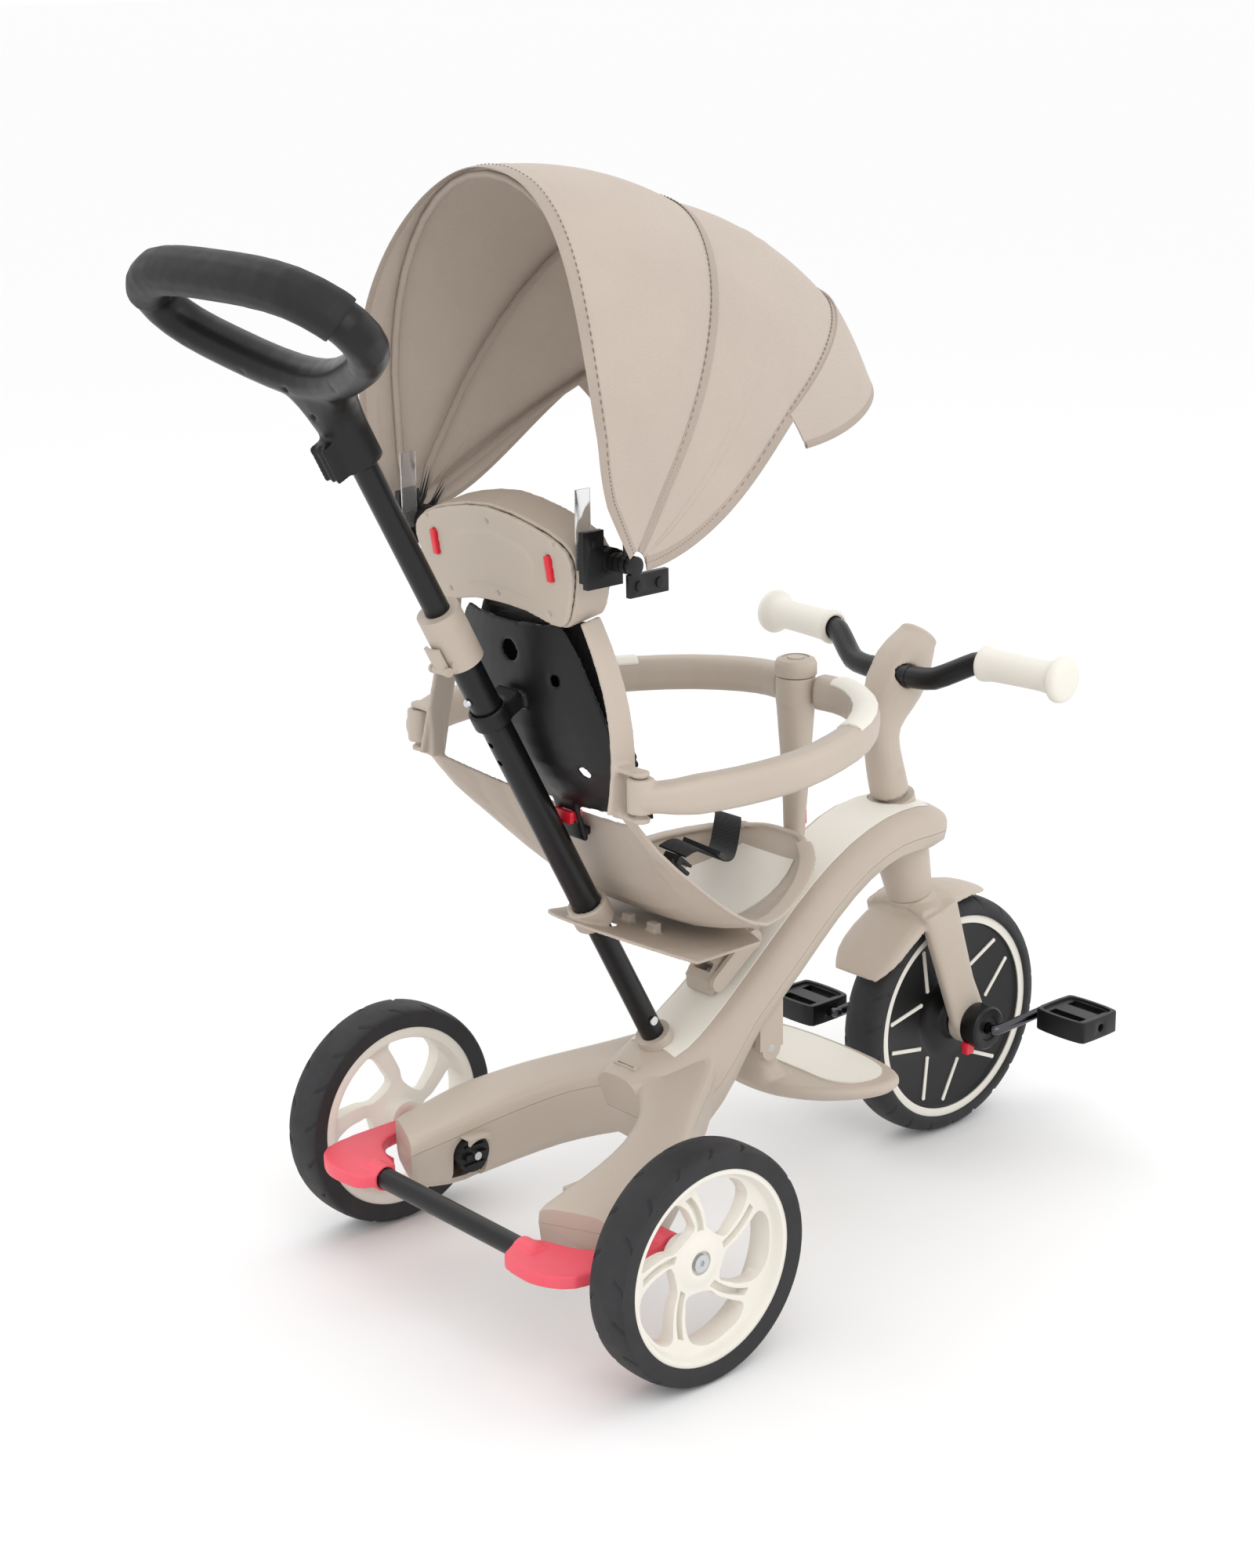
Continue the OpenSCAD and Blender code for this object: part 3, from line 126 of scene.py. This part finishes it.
def plastic(name, colour, roughness, grain=0.00006, spread=0.03, coat=0.0, level=0.5):
    """Moulded plastic: fine spark-eroded grain, faint flow patches and uneven gloss."""
    mat, tree, bsdf = shader(name, colour, roughness, Coat_Weight=coat, Coat_Roughness=0.2,
                             Specular_IOR_Level=level)
    tint(tree, bsdf, colour, 9, spread)
    vary_roughness(tree, bsdf, roughness - 0.06, roughness + 0.08, 40)
    add_bump(tree, bsdf, noise(tree, 1500, 2), "Fac", grain)
    return mat


def rubber(name, colour, roughness=0.7):
    """Foam rubber: pitted skin with dusty patches."""
    mat, tree, bsdf = shader(name, colour, roughness, Specular_IOR_Level=0.3)
    tint(tree, bsdf, colour, 30, 0.14)
    vary_roughness(tree, bsdf, roughness - 0.1, roughness + 0.1, 90)
    pits = noise(tree, 700, 6, 0.7)
    add_bump(tree, bsdf, pits, "Fac", 0.00018)
    return mat


def metal(name, colour, roughness, metallic=1.0, grain=0.00002, level=0.5):
    mat, tree, bsdf = shader(name, colour, roughness, Metallic=metallic, Specular_IOR_Level=level)
    tint(tree, bsdf, colour, 25, 0.05)
    vary_roughness(tree, bsdf, roughness - 0.05, roughness + 0.07, 60)
    add_bump(tree, bsdf, noise(tree, 2200, 2), "Fac", grain)
    return mat


def cloth(name, colour, pitch, depth, sheen=0.25, heather=0.1):
    """Plain weave: two crossed sets of threads of the given pitch, with heathered colour."""
    mat, tree, bsdf = shader(name, colour, 0.85, Sheen_Weight=sheen, Sheen_Roughness=0.5,
                             Specular_IOR_Level=0.25)
    coords = tree.nodes.new("ShaderNodeTexCoord")
    waves = []
    for direction in ("X", "Z"):
        wave = tree.nodes.new("ShaderNodeTexWave")
        wave.bands_direction = direction
        wave.inputs["Scale"].default_value = 0.314 / pitch
        wave.inputs["Distortion"].default_value = 0.6
        wave.inputs["Detail"].default_value = 1.0
        link(tree, coords, "Object", wave, "Vector")
        waves.append(wave)
    weave = tree.nodes.new("ShaderNodeMath")
    weave.operation = "MULTIPLY"
    tree.links.new(waves[0].outputs["Fac"], weave.inputs[0])
    tree.links.new(waves[1].outputs["Fac"], weave.inputs[1])
    add_bump(tree, bsdf, weave, "Value", depth)
    patches = tint(tree, bsdf, colour, 14, heather * 0.4)
    threads = tree.nodes.new("ShaderNodeMix")
    threads.data_type = "RGBA"
    threads.blend_type = "MULTIPLY"
    ramp = tree.nodes.new("ShaderNodeValToRGB")
    ramp.color_ramp.elements[0].color = (1 - heather, 1 - heather, 1 - heather, 1)
    ramp.color_ramp.elements[1].color = (1, 1, 1, 1)
    link(tree, weave, "Value", ramp, "Fac")
    threads.inputs["Factor"].default_value = 1.0
    tree.links.new(patches.outputs["Color"], threads.inputs["A"])
    tree.links.new(ramp.outputs["Color"], threads.inputs["B"])
    tree.links.new(threads.outputs["Result"], bsdf.inputs["Base Color"])
    return mat


TAUPE = (0.475, 0.405, 0.34)
MAT = {
    "taupe_plastic": plastic("taupe plastic", TAUPE, 0.46),
    "cream_soft": plastic("cream plastic", (0.76, 0.73, 0.66), 0.5, spread=0.02),
    "black_plastic": plastic("black plastic", (0.006, 0.006, 0.0065), 0.36, 0.00008, 0.2, level=0.32),
    "black_tube": metal("black powder coat", (0.005, 0.005, 0.006), 0.3, 0.0, 0.00004, 0.35),
    "grip_rubber": rubber("grip rubber", (0.012, 0.012, 0.013), 0.55),
    "tyre_rubber": rubber("tyre rubber", (0.026, 0.026, 0.028), 0.62),
    "steel": metal("zinc plate", (0.62, 0.63, 0.65), 0.28),
    "red_button": plastic("red plastic", (0.68, 0.012, 0.03), 0.34, spread=0.05, coat=0.2),
    "coral_plastic": plastic("coral plastic", (0.80, 0.085, 0.125), 0.42, spread=0.04),
    "canopy_fabric": cloth("canopy polyester", (0.49, 0.415, 0.355), 0.0011, 0.00012, 0.15, 0.07),
    "hem_fabric": cloth("hem binding", (0.42, 0.35, 0.295), 0.0014, 0.0002, 0.15, 0.12),
    "thread": cloth("thread", (0.23, 0.18, 0.15), 0.0006, 0.0001, 0.1, 0.1),
    "black_fabric": cloth("black mesh fabric", (0.010, 0.010, 0.011), 0.0022, 0.0004, 0.06, 0.3),
    "webbing": cloth("black webbing", (0.008, 0.008, 0.009), 0.0018, 0.0003, 0.04, 0.3),
    "dark_steel": metal("dark chrome", (0.09, 0.09, 0.10), 0.2),
    "clear": shader("clear plastic", (0.93, 0.94, 0.95), 0.08, Transmission_Weight=0.92, IOR=1.45)[0],
}


# ---- Mesh helpers ----
def add_object(name, mesh, material):
    obj = bpy.data.objects.new(name, mesh)
    bpy.context.scene.collection.objects.link(obj)
    mesh.materials.clear()
    mesh.materials.append(MAT[material] if isinstance(material, str) else material)
    return obj


def smooth_by_angle(mesh, degrees):
    bm = bmesh.new()
    bm.from_mesh(mesh)
    for face in bm.faces:
        face.smooth = True
    for edge in bm.edges:
        edge.smooth = edge.is_manifold and edge.calc_face_angle(0) < math.radians(degrees)
    bm.to_mesh(mesh)
    bm.free()


def welded(name, nodes):
    bm = bmesh.new()
    for node in nodes:
        bm.from_mesh(NODES[node].data)
    bmesh.ops.remove_doubles(bm, verts=bm.verts, dist=1e-5)
    mesh = bpy.data.meshes.new(name)
    bm.to_mesh(mesh)
    bm.free()
    return mesh


def bake(obj):
    """Applies the object's modifiers to its mesh."""
    graph = bpy.context.evaluated_depsgraph_get()
    mesh = bpy.data.meshes.new_from_object(obj.evaluated_get(graph))
    obj.modifiers.clear()
    obj.data = mesh


def place(obj, node, *more):
    """Parents obj to the body of node and hides node (and more), so obj stands for them."""
    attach(obj, BODY_OF[node])
    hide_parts(node, *more)
    return obj


def dressed(node, material=None, angle=38, bevel=0.0):
    """The node's own shape with welded edges, smooth shading and, if asked, broken edges."""
    obj = add_object(node + "_look", welded(node + "_look", [node]), material or SLOT_OF[node])
    if bevel:
        mod = obj.modifiers.new("edges", "BEVEL")
        mod.width, mod.segments, mod.limit_method = bevel, 2, "ANGLE"
        mod.angle_limit = math.radians(40)
        bake(obj)
    smooth_by_angle(obj.data, angle)
    return place(obj, node)


def moulded(node, voxel=0.0018, passes=4, keep=1.0, material=None):
    """The node remeshed and relaxed, so that its edges get the soft radii of a moulding."""
    obj = add_object(node + "_look", welded(node + "_look", [node]), material or SLOT_OF[node])
    remesh = obj.modifiers.new("remesh", "REMESH")
    remesh.mode, remesh.voxel_size = "VOXEL", voxel
    relax = obj.modifiers.new("relax", "SMOOTH")
    relax.factor, relax.iterations = 0.5, passes
    if keep < 1:
        thin = obj.modifiers.new("thin", "DECIMATE")
        thin.ratio = keep
    bake(obj)
    obj.data.materials.clear()
    obj.data.materials.append(MAT[material or SLOT_OF[node]])
    smooth_by_angle(obj.data, 50)
    return place(obj, node)


def grid_mesh(name, rows, closed=False):
    """A sheet of quads over rows of points; closed joins the last column to the first."""
    m, n = len(rows), len(rows[0])
    verts = [p for row in rows for p in row]
    span = n if closed else n - 1
    faces = [(i * n + j, i * n + (j + 1) % n, (i + 1) * n + (j + 1) % n, (i + 1) * n + j)
             for i in range(m - 1) for j in range(span)]
    mesh = bpy.data.meshes.new(name)
    mesh.from_pydata([tuple(v) for v in verts], [], faces)
    mesh.update()
    return mesh


def thicken(obj, thickness, offset=1.0):
    mod = obj.modifiers.new("thickness", "SOLIDIFY")
    mod.thickness, mod.offset = thickness, offset
    bake(obj)


def sweep(name, path, radii, sides=16, cap=True):
    """A round tube along path; radii is one radius or one per point."""
    pts = [Vector(p) for p in path]
    rows, up = [], None
    for i, p in enumerate(pts):
        t = (pts[min(i + 1, len(pts) - 1)] - pts[max(i - 1, 0)]).normalized()
        up = (t.orthogonal() if up is None else up - up.dot(t) * t).normalized()
        side = t.cross(up)
        r = radii if isinstance(radii, float) else radii[i]
        rows.append([p + r * (math.cos(a) * up + math.sin(a) * side)
                     for a in (2 * math.pi * k / sides for k in range(sides))])
    mesh = grid_mesh(name, rows, closed=True)
    if cap:
        bm = bmesh.new()
        bm.from_mesh(mesh)
        bmesh.ops.holes_fill(bm, edges=[e for e in bm.edges if e.is_boundary])
        bmesh.ops.recalc_face_normals(bm, faces=bm.faces)
        bm.to_mesh(mesh)
        bm.free()
    return mesh


def centre(node):
    low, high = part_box(node)
    return (low + high) / 2


def smooth_curve(points, steps):
    """Catmull-Rom curve through points."""
    p = [Vector(q) for q in points]
    out = []
    for i in range(len(p) - 1):
        a, b, c, d = p[max(i - 1, 0)], p[i], p[i + 1], p[min(i + 2, len(p) - 1)]
        for k in range(steps):
            t = k / steps
            out.append(0.5 * (2 * b + (c - a) * t + (2 * a - 5 * b + 4 * c - d) * t * t
                              + (3 * b - a - 3 * c + d) * t ** 3))
    return out + [p[-1]]


# ---- Hard parts that keep their CAD shape ----
for node in ("rod_lower_tube", "rod_mid_tube", "rod_upper_tube", "brake_bar", "axle_hardware",
             "snap_button", "belt_hardware", "spine_inlay", "seat_inlay", "ring_inlay_left",
             "ring_inlay_right", "front_wheel_inlay", "handlebar_tube", "ring_knob", "rod_clamp",
             "leg_knob"):
    dressed(node)
for node in ("clamp_lever", "quick_release_lever", "pedal_left", "pedal_right", "backrest_button",
             "headrest_button_left", "headrest_button_right", "ring_post_button",
             "rear_rim_left", "rear_rim_right", "front_wheel_disc"):
    dressed(node, bevel=0.0006)
dressed("grips", angle=60)
dressed("footrest_inlay")


def repaint(obj, material, wanted):
    """Gives the faces whose centre passes wanted another material."""
    obj.data.materials.append(MAT[material])
    for face in obj.data.polygons:
        if wanted(face.center):
            face.material_index = len(obj.data.materials) - 1


# The stays up to the rear hem are clear plastic; the clutch tabs under the front hub are red
hinge_at = Vector(JOINTS["canopy_mid_fold"]["pos_m"])
repaint(dressed("canopy_brackets", bevel=0.0005), "clear",
        lambda c: c.x < hinge_at.x - 0.012 and 0.1153 < abs(c.y) < 0.1169)
hub_at = Vector(JOINTS["front_wheel_spin"]["pos_m"])
repaint(dressed("hub_caps", bevel=0.0005), "red_button",
        lambda c: math.hypot(c.x - hub_at.x, c.z - hub_at.z) > 0.0228)

# ---- Mouldings with soft radii ----
for node in ("frame_upper_shell", "frame_lower_shell"):
    dressed(node, angle=42)
moulded("seat_shell", 0.0016, 3, keep=0.5)
for node in ("seat_tray", "headrest_cover", "headrest_box", "seat_clamp"):
    moulded(node, 0.0014, 3, keep=0.5)
for node in ("ring_arm_left", "ring_arm_right", "ring_post", "stem", "fork", "footrest_body",
             "brake_pedals", "back_plate"):
    moulded(node, 0.0018, 5, keep=0.5)
for node in ("handle_frame", "handle_grip"):
    moulded(node, 0.0018, 16, keep=0.5)


# ---- Tyres ----
def tyre(node, rim_radius, drop, grooves, swirl):
    """Solid foam tyre with a rounded tread and short curved grooves on both shoulders."""
    low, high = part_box(node)
    mid = (low + high) / 2
    radius, width = (high.z - low.z) / 2, high.y - low.y
    around, across = 640, 30
    section = []
    for i in range(across + 1):
        s = 2 * i / across - 1
        t = math.radians(90 * (1 - abs(s)))
        r = radius - drop * (1 - math.cos(math.radians(90 * abs(s))) ** 0.8)
        section.append((s, r, math.copysign(width / 2 * math.cos(t) ** 0.8, s)))
    rows = []
    for k in range(around):
        a = 2 * math.pi * k / around
        row = [(rim_radius, -width / 2 + 0.002)]
        for s, r, y in section:
            v = abs(s)
            turn = a * grooves / (2 * math.pi) + swirl * (v - 0.5) + (0.5 if s < 0 else 0)
            off = abs((turn + 0.5) % 1 - 0.5) * 2 * math.pi * radius / grooves
            depth = 0.0021 * max(0, 1 - (off / 0.0028) ** 2) if 0.3 < v < 0.86 else 0
            row.append((r - depth, y))
        row.append((rim_radius, width / 2 - 0.002))
        rows.append([(mid.x + r * math.cos(a), mid.y + y, mid.z + r * math.sin(a)) for r, y in row])
    rows.append(rows[0])
    mesh = grid_mesh(node + "_look", rows, closed=True)
    bm = bmesh.new()
    bm.from_mesh(mesh)
    bmesh.ops.remove_doubles(bm, verts=bm.verts, dist=1e-6)
    bmesh.ops.recalc_face_normals(bm, faces=bm.faces)
    bm.to_mesh(mesh)
    bm.free()
    obj = add_object(node + "_look", mesh, "tyre_rubber")
    smooth_by_angle(mesh, 50)
    return place(obj, node)


tyre("rear_tyre_left", 0.0887, 0.0055, 18, 0.5)
tyre("rear_tyre_right", 0.0887, 0.0055, 18, -0.5)
tyre("front_tyre", 0.1068, 0.016, 22, 0.45)

# ---- Cranks: one bent steel rod on each side ----
axle, crank_box = Vector(JOINTS["front_wheel_spin"]["pos_m"]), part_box("crank")
rods = []
for side, pedal in ((1, "pedal_left_spin"), (-1, "pedal_right_spin")):
    end = Vector(JOINTS[pedal]["pos_m"])
    tip = crank_box[1].y if side > 0 else crank_box[0].y

    def at(share, y):
        q = axle.lerp(end, share)
        return Vector((q.x, side * y, q.z))

    path = smooth_curve([at(0, 0), at(0, 0.064), at(0, 0.0715), at(0.1, 0.0765), at(0.5, 0.0825),
                         at(0.9, 0.0885), at(1, 0.094), at(1, abs(tip))], 8)
    rods.append(sweep("rod", path, 0.0052, 20))
bm = bmesh.new()
for rod in rods:
    bm.from_mesh(rod)
mesh = bpy.data.meshes.new("crank_look")
bm.to_mesh(mesh)
bm.free()
crank = add_object("crank_look", mesh, "dark_steel")
smooth_by_angle(mesh, 60)
place(crank, "crank")

# ---- Canopy: one curved fabric skin over three bows ----
pivot = Vector(JOINTS["canopy_mid_fold"]["pos_m"])
REAR, MID, FRONT = -3.0, 32.0, 63.0          # bow angles from the vertical, degrees
FOOT = 0.09                                  # height of the springing of each arch above the pivot
# Arch height and half width of the fabric over each bow, from the bows' own boxes
HEIGHT = {REAR: 0.303, MID: 0.312, FRONT: 0.380}
WIDTH = {REAR: 0.152, MID: 0.148, FRONT: 0.148}
SKIN = 0.0056                                # fabric stands this far off the bows' centrelines


def bow_arch(angle, t):
    """(y, radius) of the fabric over a bow at t from 0, right hinge, to 1, left hinge."""
    wide, high = WIDTH[angle] + SKIN, HEIGHT[angle] + SKIN - FOOT
    legs = 0.16
    if t < legs or t > 1 - legs:
        k = (t if t < legs else 1 - t) / legs
        return (-wide if t < 0.5 else wide), 0.012 + (FOOT - 0.012) * k
    a = math.pi * (t - legs) / (1 - 2 * legs)
    return -wide * math.cos(a), FOOT + high * math.sin(a)


def hem_back(r):
    if r < 0.11:
        return -26 + 8 * max(0.0, (r - 0.06) / 0.05)
    return -3 - 15 * ((0.3 - min(0.3, r)) / 0.19) ** 1.2


def hem_front(r):
    return 63 + 29 * ((0.23 - min(0.23, r)) / 0.23) ** 1.8


def fan_point(first, u, t, lift=0.0):
    """A point of the skin: first is REAR or MID, the bow behind; u runs from it to the next."""
    nxt = MID if first == REAR else FRONT
    (y0, r0), (y1, r1) = bow_arch(first, t), bow_arch(nxt, t)
    y, r = y0 + (y1 - y0) * u, r0 + (r1 - r0) * u
    if first == REAR:
        a = hem_back(r0) + (nxt - hem_back(r0)) * u
    else:
        a = first + (hem_front(r1) - first) * u
    sag = -0.0022 * math.sin(math.pi * u) * math.sin(math.pi * t) ** 0.5 + lift
    y += math.copysign(sag * min(1, abs(y) / 0.15), y) if y else 0
    r += sag * math.sin(math.pi * t)
    s = math.radians(a)
    return Vector((pivot.x + r * math.sin(s), y, pivot.z + r * math.cos(s))), a


def seam_lift(u, at, width=0.012):
    return 0.0009 * math.exp(-((u - at) / width) ** 2)


def fabric_fan(name, first, seams, node):
    across, up = 44, 96
    rows = [[fan_point(first, i / across, j / up, sum(seam_lift(i / across, s) for s in seams))[0]
             for j in range(up + 1)] for i in range(across + 1)]
    obj = add_object(name, grid_mesh(name, rows), "canopy_fabric")
    thicken(obj, 0.0009, 1.0)
    smooth_by_angle(obj.data, 60)
    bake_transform(obj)
    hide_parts(node)
    return obj


def strip(name, centre_line, normals, sides, half, thick, material, body):
    """A flat binding along a line, with rounded edges."""
    rows = []
    for p, n, s in zip(centre_line, normals, sides):
        rows.append([p + s * half * math.cos(a) + n * thick * math.sin(a)
                     for a in (2 * math.pi * k / 12 for k in range(12))])
    obj = add_object(name, grid_mesh(name, rows, closed=True), material)
    smooth_by_angle(obj.data, 60)
    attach(obj, body)
    return obj


def seam_strip(name, first, u, body, half, lift, material="hem_fabric", thick=0.0008):
    up = 120
    line, normals, sides = [], [], []
    for j in range(up + 1):
        t = j / up
        p = fan_point(first, u, t, lift)[0]
        q = fan_point(first, min(1, u + 0.02) if u < 0.5 else u - 0.02, t, lift)[0]
        along = (fan_point(first, u, min(1, t + 0.01), lift)[0]
                 - fan_point(first, u, max(0, t - 0.01), lift)[0]).normalized()
        side = (q - p).normalized() * (1 if u < 0.5 else -1)
        side = (side - side.dot(along) * along).normalized()
        line.append(p)
        sides.append(side)
        normals.append(along.cross(side).normalized())
    return strip(name, line, normals, sides, half, thick, material, body)


def stitches(name, first, u, body, lift, count=150):
    """A row of short thread stitches along a seam."""
    bm = bmesh.new()
    for k in range(count):
        t0, t1 = (k + 0.2) / count, (k + 0.75) / count
        a, b = fan_point(first, u, t0, lift)[0], fan_point(first, u, t1, lift)[0]
        bm.from_mesh(sweep("stitch", [a, a.lerp(b, 0.5), b], [0.0003, 0.0005, 0.0003], 5))
    mesh = bpy.data.meshes.new(name)
    bm.to_mesh(mesh)
    bm.free()
    obj = add_object(name, mesh, "thread")
    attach(obj, body)


fabric_fan("canopy_rear", REAR, [0.12], "canopy_panel_rear")
fabric_fan("canopy_front", MID, [0.45, 0.55], "canopy_panel_front")
seam_strip("hem_rear", REAR, 0.0, "frame", 0.0062, 0.0004)
seam_strip("seam_mid", REAR, 0.985, "canopy_mid", 0.0045, 0.0008)
seam_strip("hem_front", MID, 0.985, "canopy_front", 0.006, 0.0006)
stitches("stitches_rear", REAR, 0.035, "frame", 0.0013)
stitches("stitches_mid", REAR, 0.955, "canopy_mid", 0.0012)
stitches("stitches_front", MID, 0.95, "canopy_front", 0.0012)


def visor():
    """The stiffened peak in front of the front bow."""
    rows = []
    for i in range(21):
        u = i / 20
        row = []
        for j in range(-32, 33):
            t = j / 32
            a66 = math.radians(66 * t)
            r = (HEIGHT[FRONT] + 0.0078 - FOOT) * math.cos(a66) + FOOT
            w = (WIDTH[FRONT] + 0.0078) * math.sin(a66)
            a = math.radians(62.4 + 14 * u * (1 - 0.3 * abs(t) ** 6))
            rr = r * (1 + 0.055 * u) + 0.0012 * math.exp(-((u - 0.93) / 0.03) ** 2)
            row.append(Vector((pivot.x + rr * math.sin(a), w * (1 - 0.05 * u), pivot.z + rr * math.cos(a))))
        rows.append(row)
    obj = add_object("visor", grid_mesh("visor", rows), "canopy_fabric")
    thicken(obj, 0.0014, 1.0)
    smooth_by_angle(obj.data, 60)
    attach(obj, "canopy_front")
    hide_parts("canopy_visor")
    line = rows[-1]
    normals = [(p - pivot).normalized() for p in line]
    sides = [(rows[-1][k] - rows[-3][k]).normalized() for k in range(len(line))]
    strip("visor_hem", line, normals, sides, 0.004, 0.0011, "hem_fabric", "canopy_front")


visor()

# Bows run in fabric sleeves; their hubs stay black plastic
for node in ("canopy_bow_rear", "canopy_bow_mid", "canopy_bow_front"):
    bow = dressed(node, "hem_fabric", angle=60)
    bow.data.materials.append(MAT["black_plastic"])
    for face in bow.data.polygons:
        if math.hypot(face.center.x - pivot.x, face.center.z - pivot.z) < 0.03:
            face.material_index = 1

# ---- Back cushion: a padded cover swelled over the CAD pad ----
pad = add_object("cushion", welded("cushion", ["back_cushion"]), "black_fabric")
mod = pad.modifiers.new("remesh", "REMESH")
mod.mode, mod.voxel_size = "VOXEL", 0.005
bake(pad)
rest = np.array([v.co for v in pad.data.vertices])
mod = pad.modifiers.new("cloth", "CLOTH")
mod.settings.use_pressure = True
mod.settings.uniform_pressure_force = 4
mod.settings.effector_weights.gravity = 0
scene = bpy.context.scene
for f in range(1, 13):
    scene.frame_set(f)
bake(pad)
scene.frame_set(1)
now = np.array([v.co for v in pad.data.vertices])
step = now - rest
size = np.linalg.norm(step, axis=1, keepdims=True)
now = rest + step * np.minimum(1, 0.004 / np.maximum(size, 1e-9))
pad.data.vertices.foreach_set("co", now.astype(np.float32).ravel())
mod = pad.modifiers.new("smooth", "SUBSURF")
mod.levels = 1
bake(pad)
# Two sewn channels across the pad
pad_low, pad_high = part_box("back_cushion")
pad_middle = centre("back_cushion").x
for v in pad.data.vertices:
    for share in (0.36, 0.66):
        z = pad_low.z + share * (pad_high.z - pad_low.z)
        dent = 0.0035 * math.exp(-((v.co.z - z) / 0.004) ** 2)
        v.co.x -= dent * (1 if v.co.x > pad_middle else -0.4)
pad.data.materials.clear()
pad.data.materials.append(MAT["black_fabric"])
smooth_by_angle(pad.data, 70)
place(pad, "back_cushion")

# ---- Lap belt ----
belt = dressed("lap_belt", "webbing", angle=60)

# ---- Camera, light and floor ----
rear_axle = JOINTS["rear_wheel_left_spin"]["pos_m"][0]
spot = Vector((-1.4575 + rear_axle, -1.8042, 1.2035))
camera = bpy.data.objects.new("camera", bpy.data.cameras.new("camera"))
bpy.context.scene.collection.objects.link(camera)
camera.data.sensor_width, camera.data.lens = 36, 64.13
camera.data.clip_start = 0.05
look = Vector((0.628, 0.719, -0.296)).normalized()
up = Vector((0.207, 0.213, 0.955))
side = look.cross(up).normalized()
up = side.cross(look).normalized()
camera.matrix_world = Matrix(((side.x, up.x, -look.x, spot.x), (side.y, up.y, -look.y, spot.y),
                              (side.z, up.z, -look.z, spot.z), (0, 0, 0, 1)))
bpy.context.scene.camera = camera
bpy.context.scene.view_settings.view_transform = "Standard"

bpy.ops.mesh.primitive_plane_add(size=80)
floor = bpy.context.active_object
floor.name = "floor"
floor.data.materials.append(shader("floor", (0.88, 0.88, 0.88), 0.8)[0])

world = bpy.data.worlds.new("studio")
bpy.context.scene.world = world
world.use_nodes = True
world.node_tree.nodes["Background"].inputs["Color"].default_value = (1, 1, 1, 1)
world.node_tree.nodes["Background"].inputs["Strength"].default_value = 1.1


def softbox(name, place_at, aim, size, power):
    lamp = bpy.data.objects.new(name, bpy.data.lights.new(name, "AREA"))
    bpy.context.scene.collection.objects.link(lamp)
    lamp.data.size, lamp.data.energy = size, power
    lamp.location = place_at
    lamp.rotation_euler = (Vector(aim) - Vector(place_at)).to_track_quat("-Z", "Y").to_euler()


softbox("key", (-1.2, -2.2, 2.6), (0, 0, 0.5), 1.8, 24)
softbox("fill", (2.2, -1.6, 1.6), (0, 0, 0.4), 2.0, 8)
softbox("top", (0.2, 1.4, 2.8), (0, 0, 0.5), 2.0, 9)
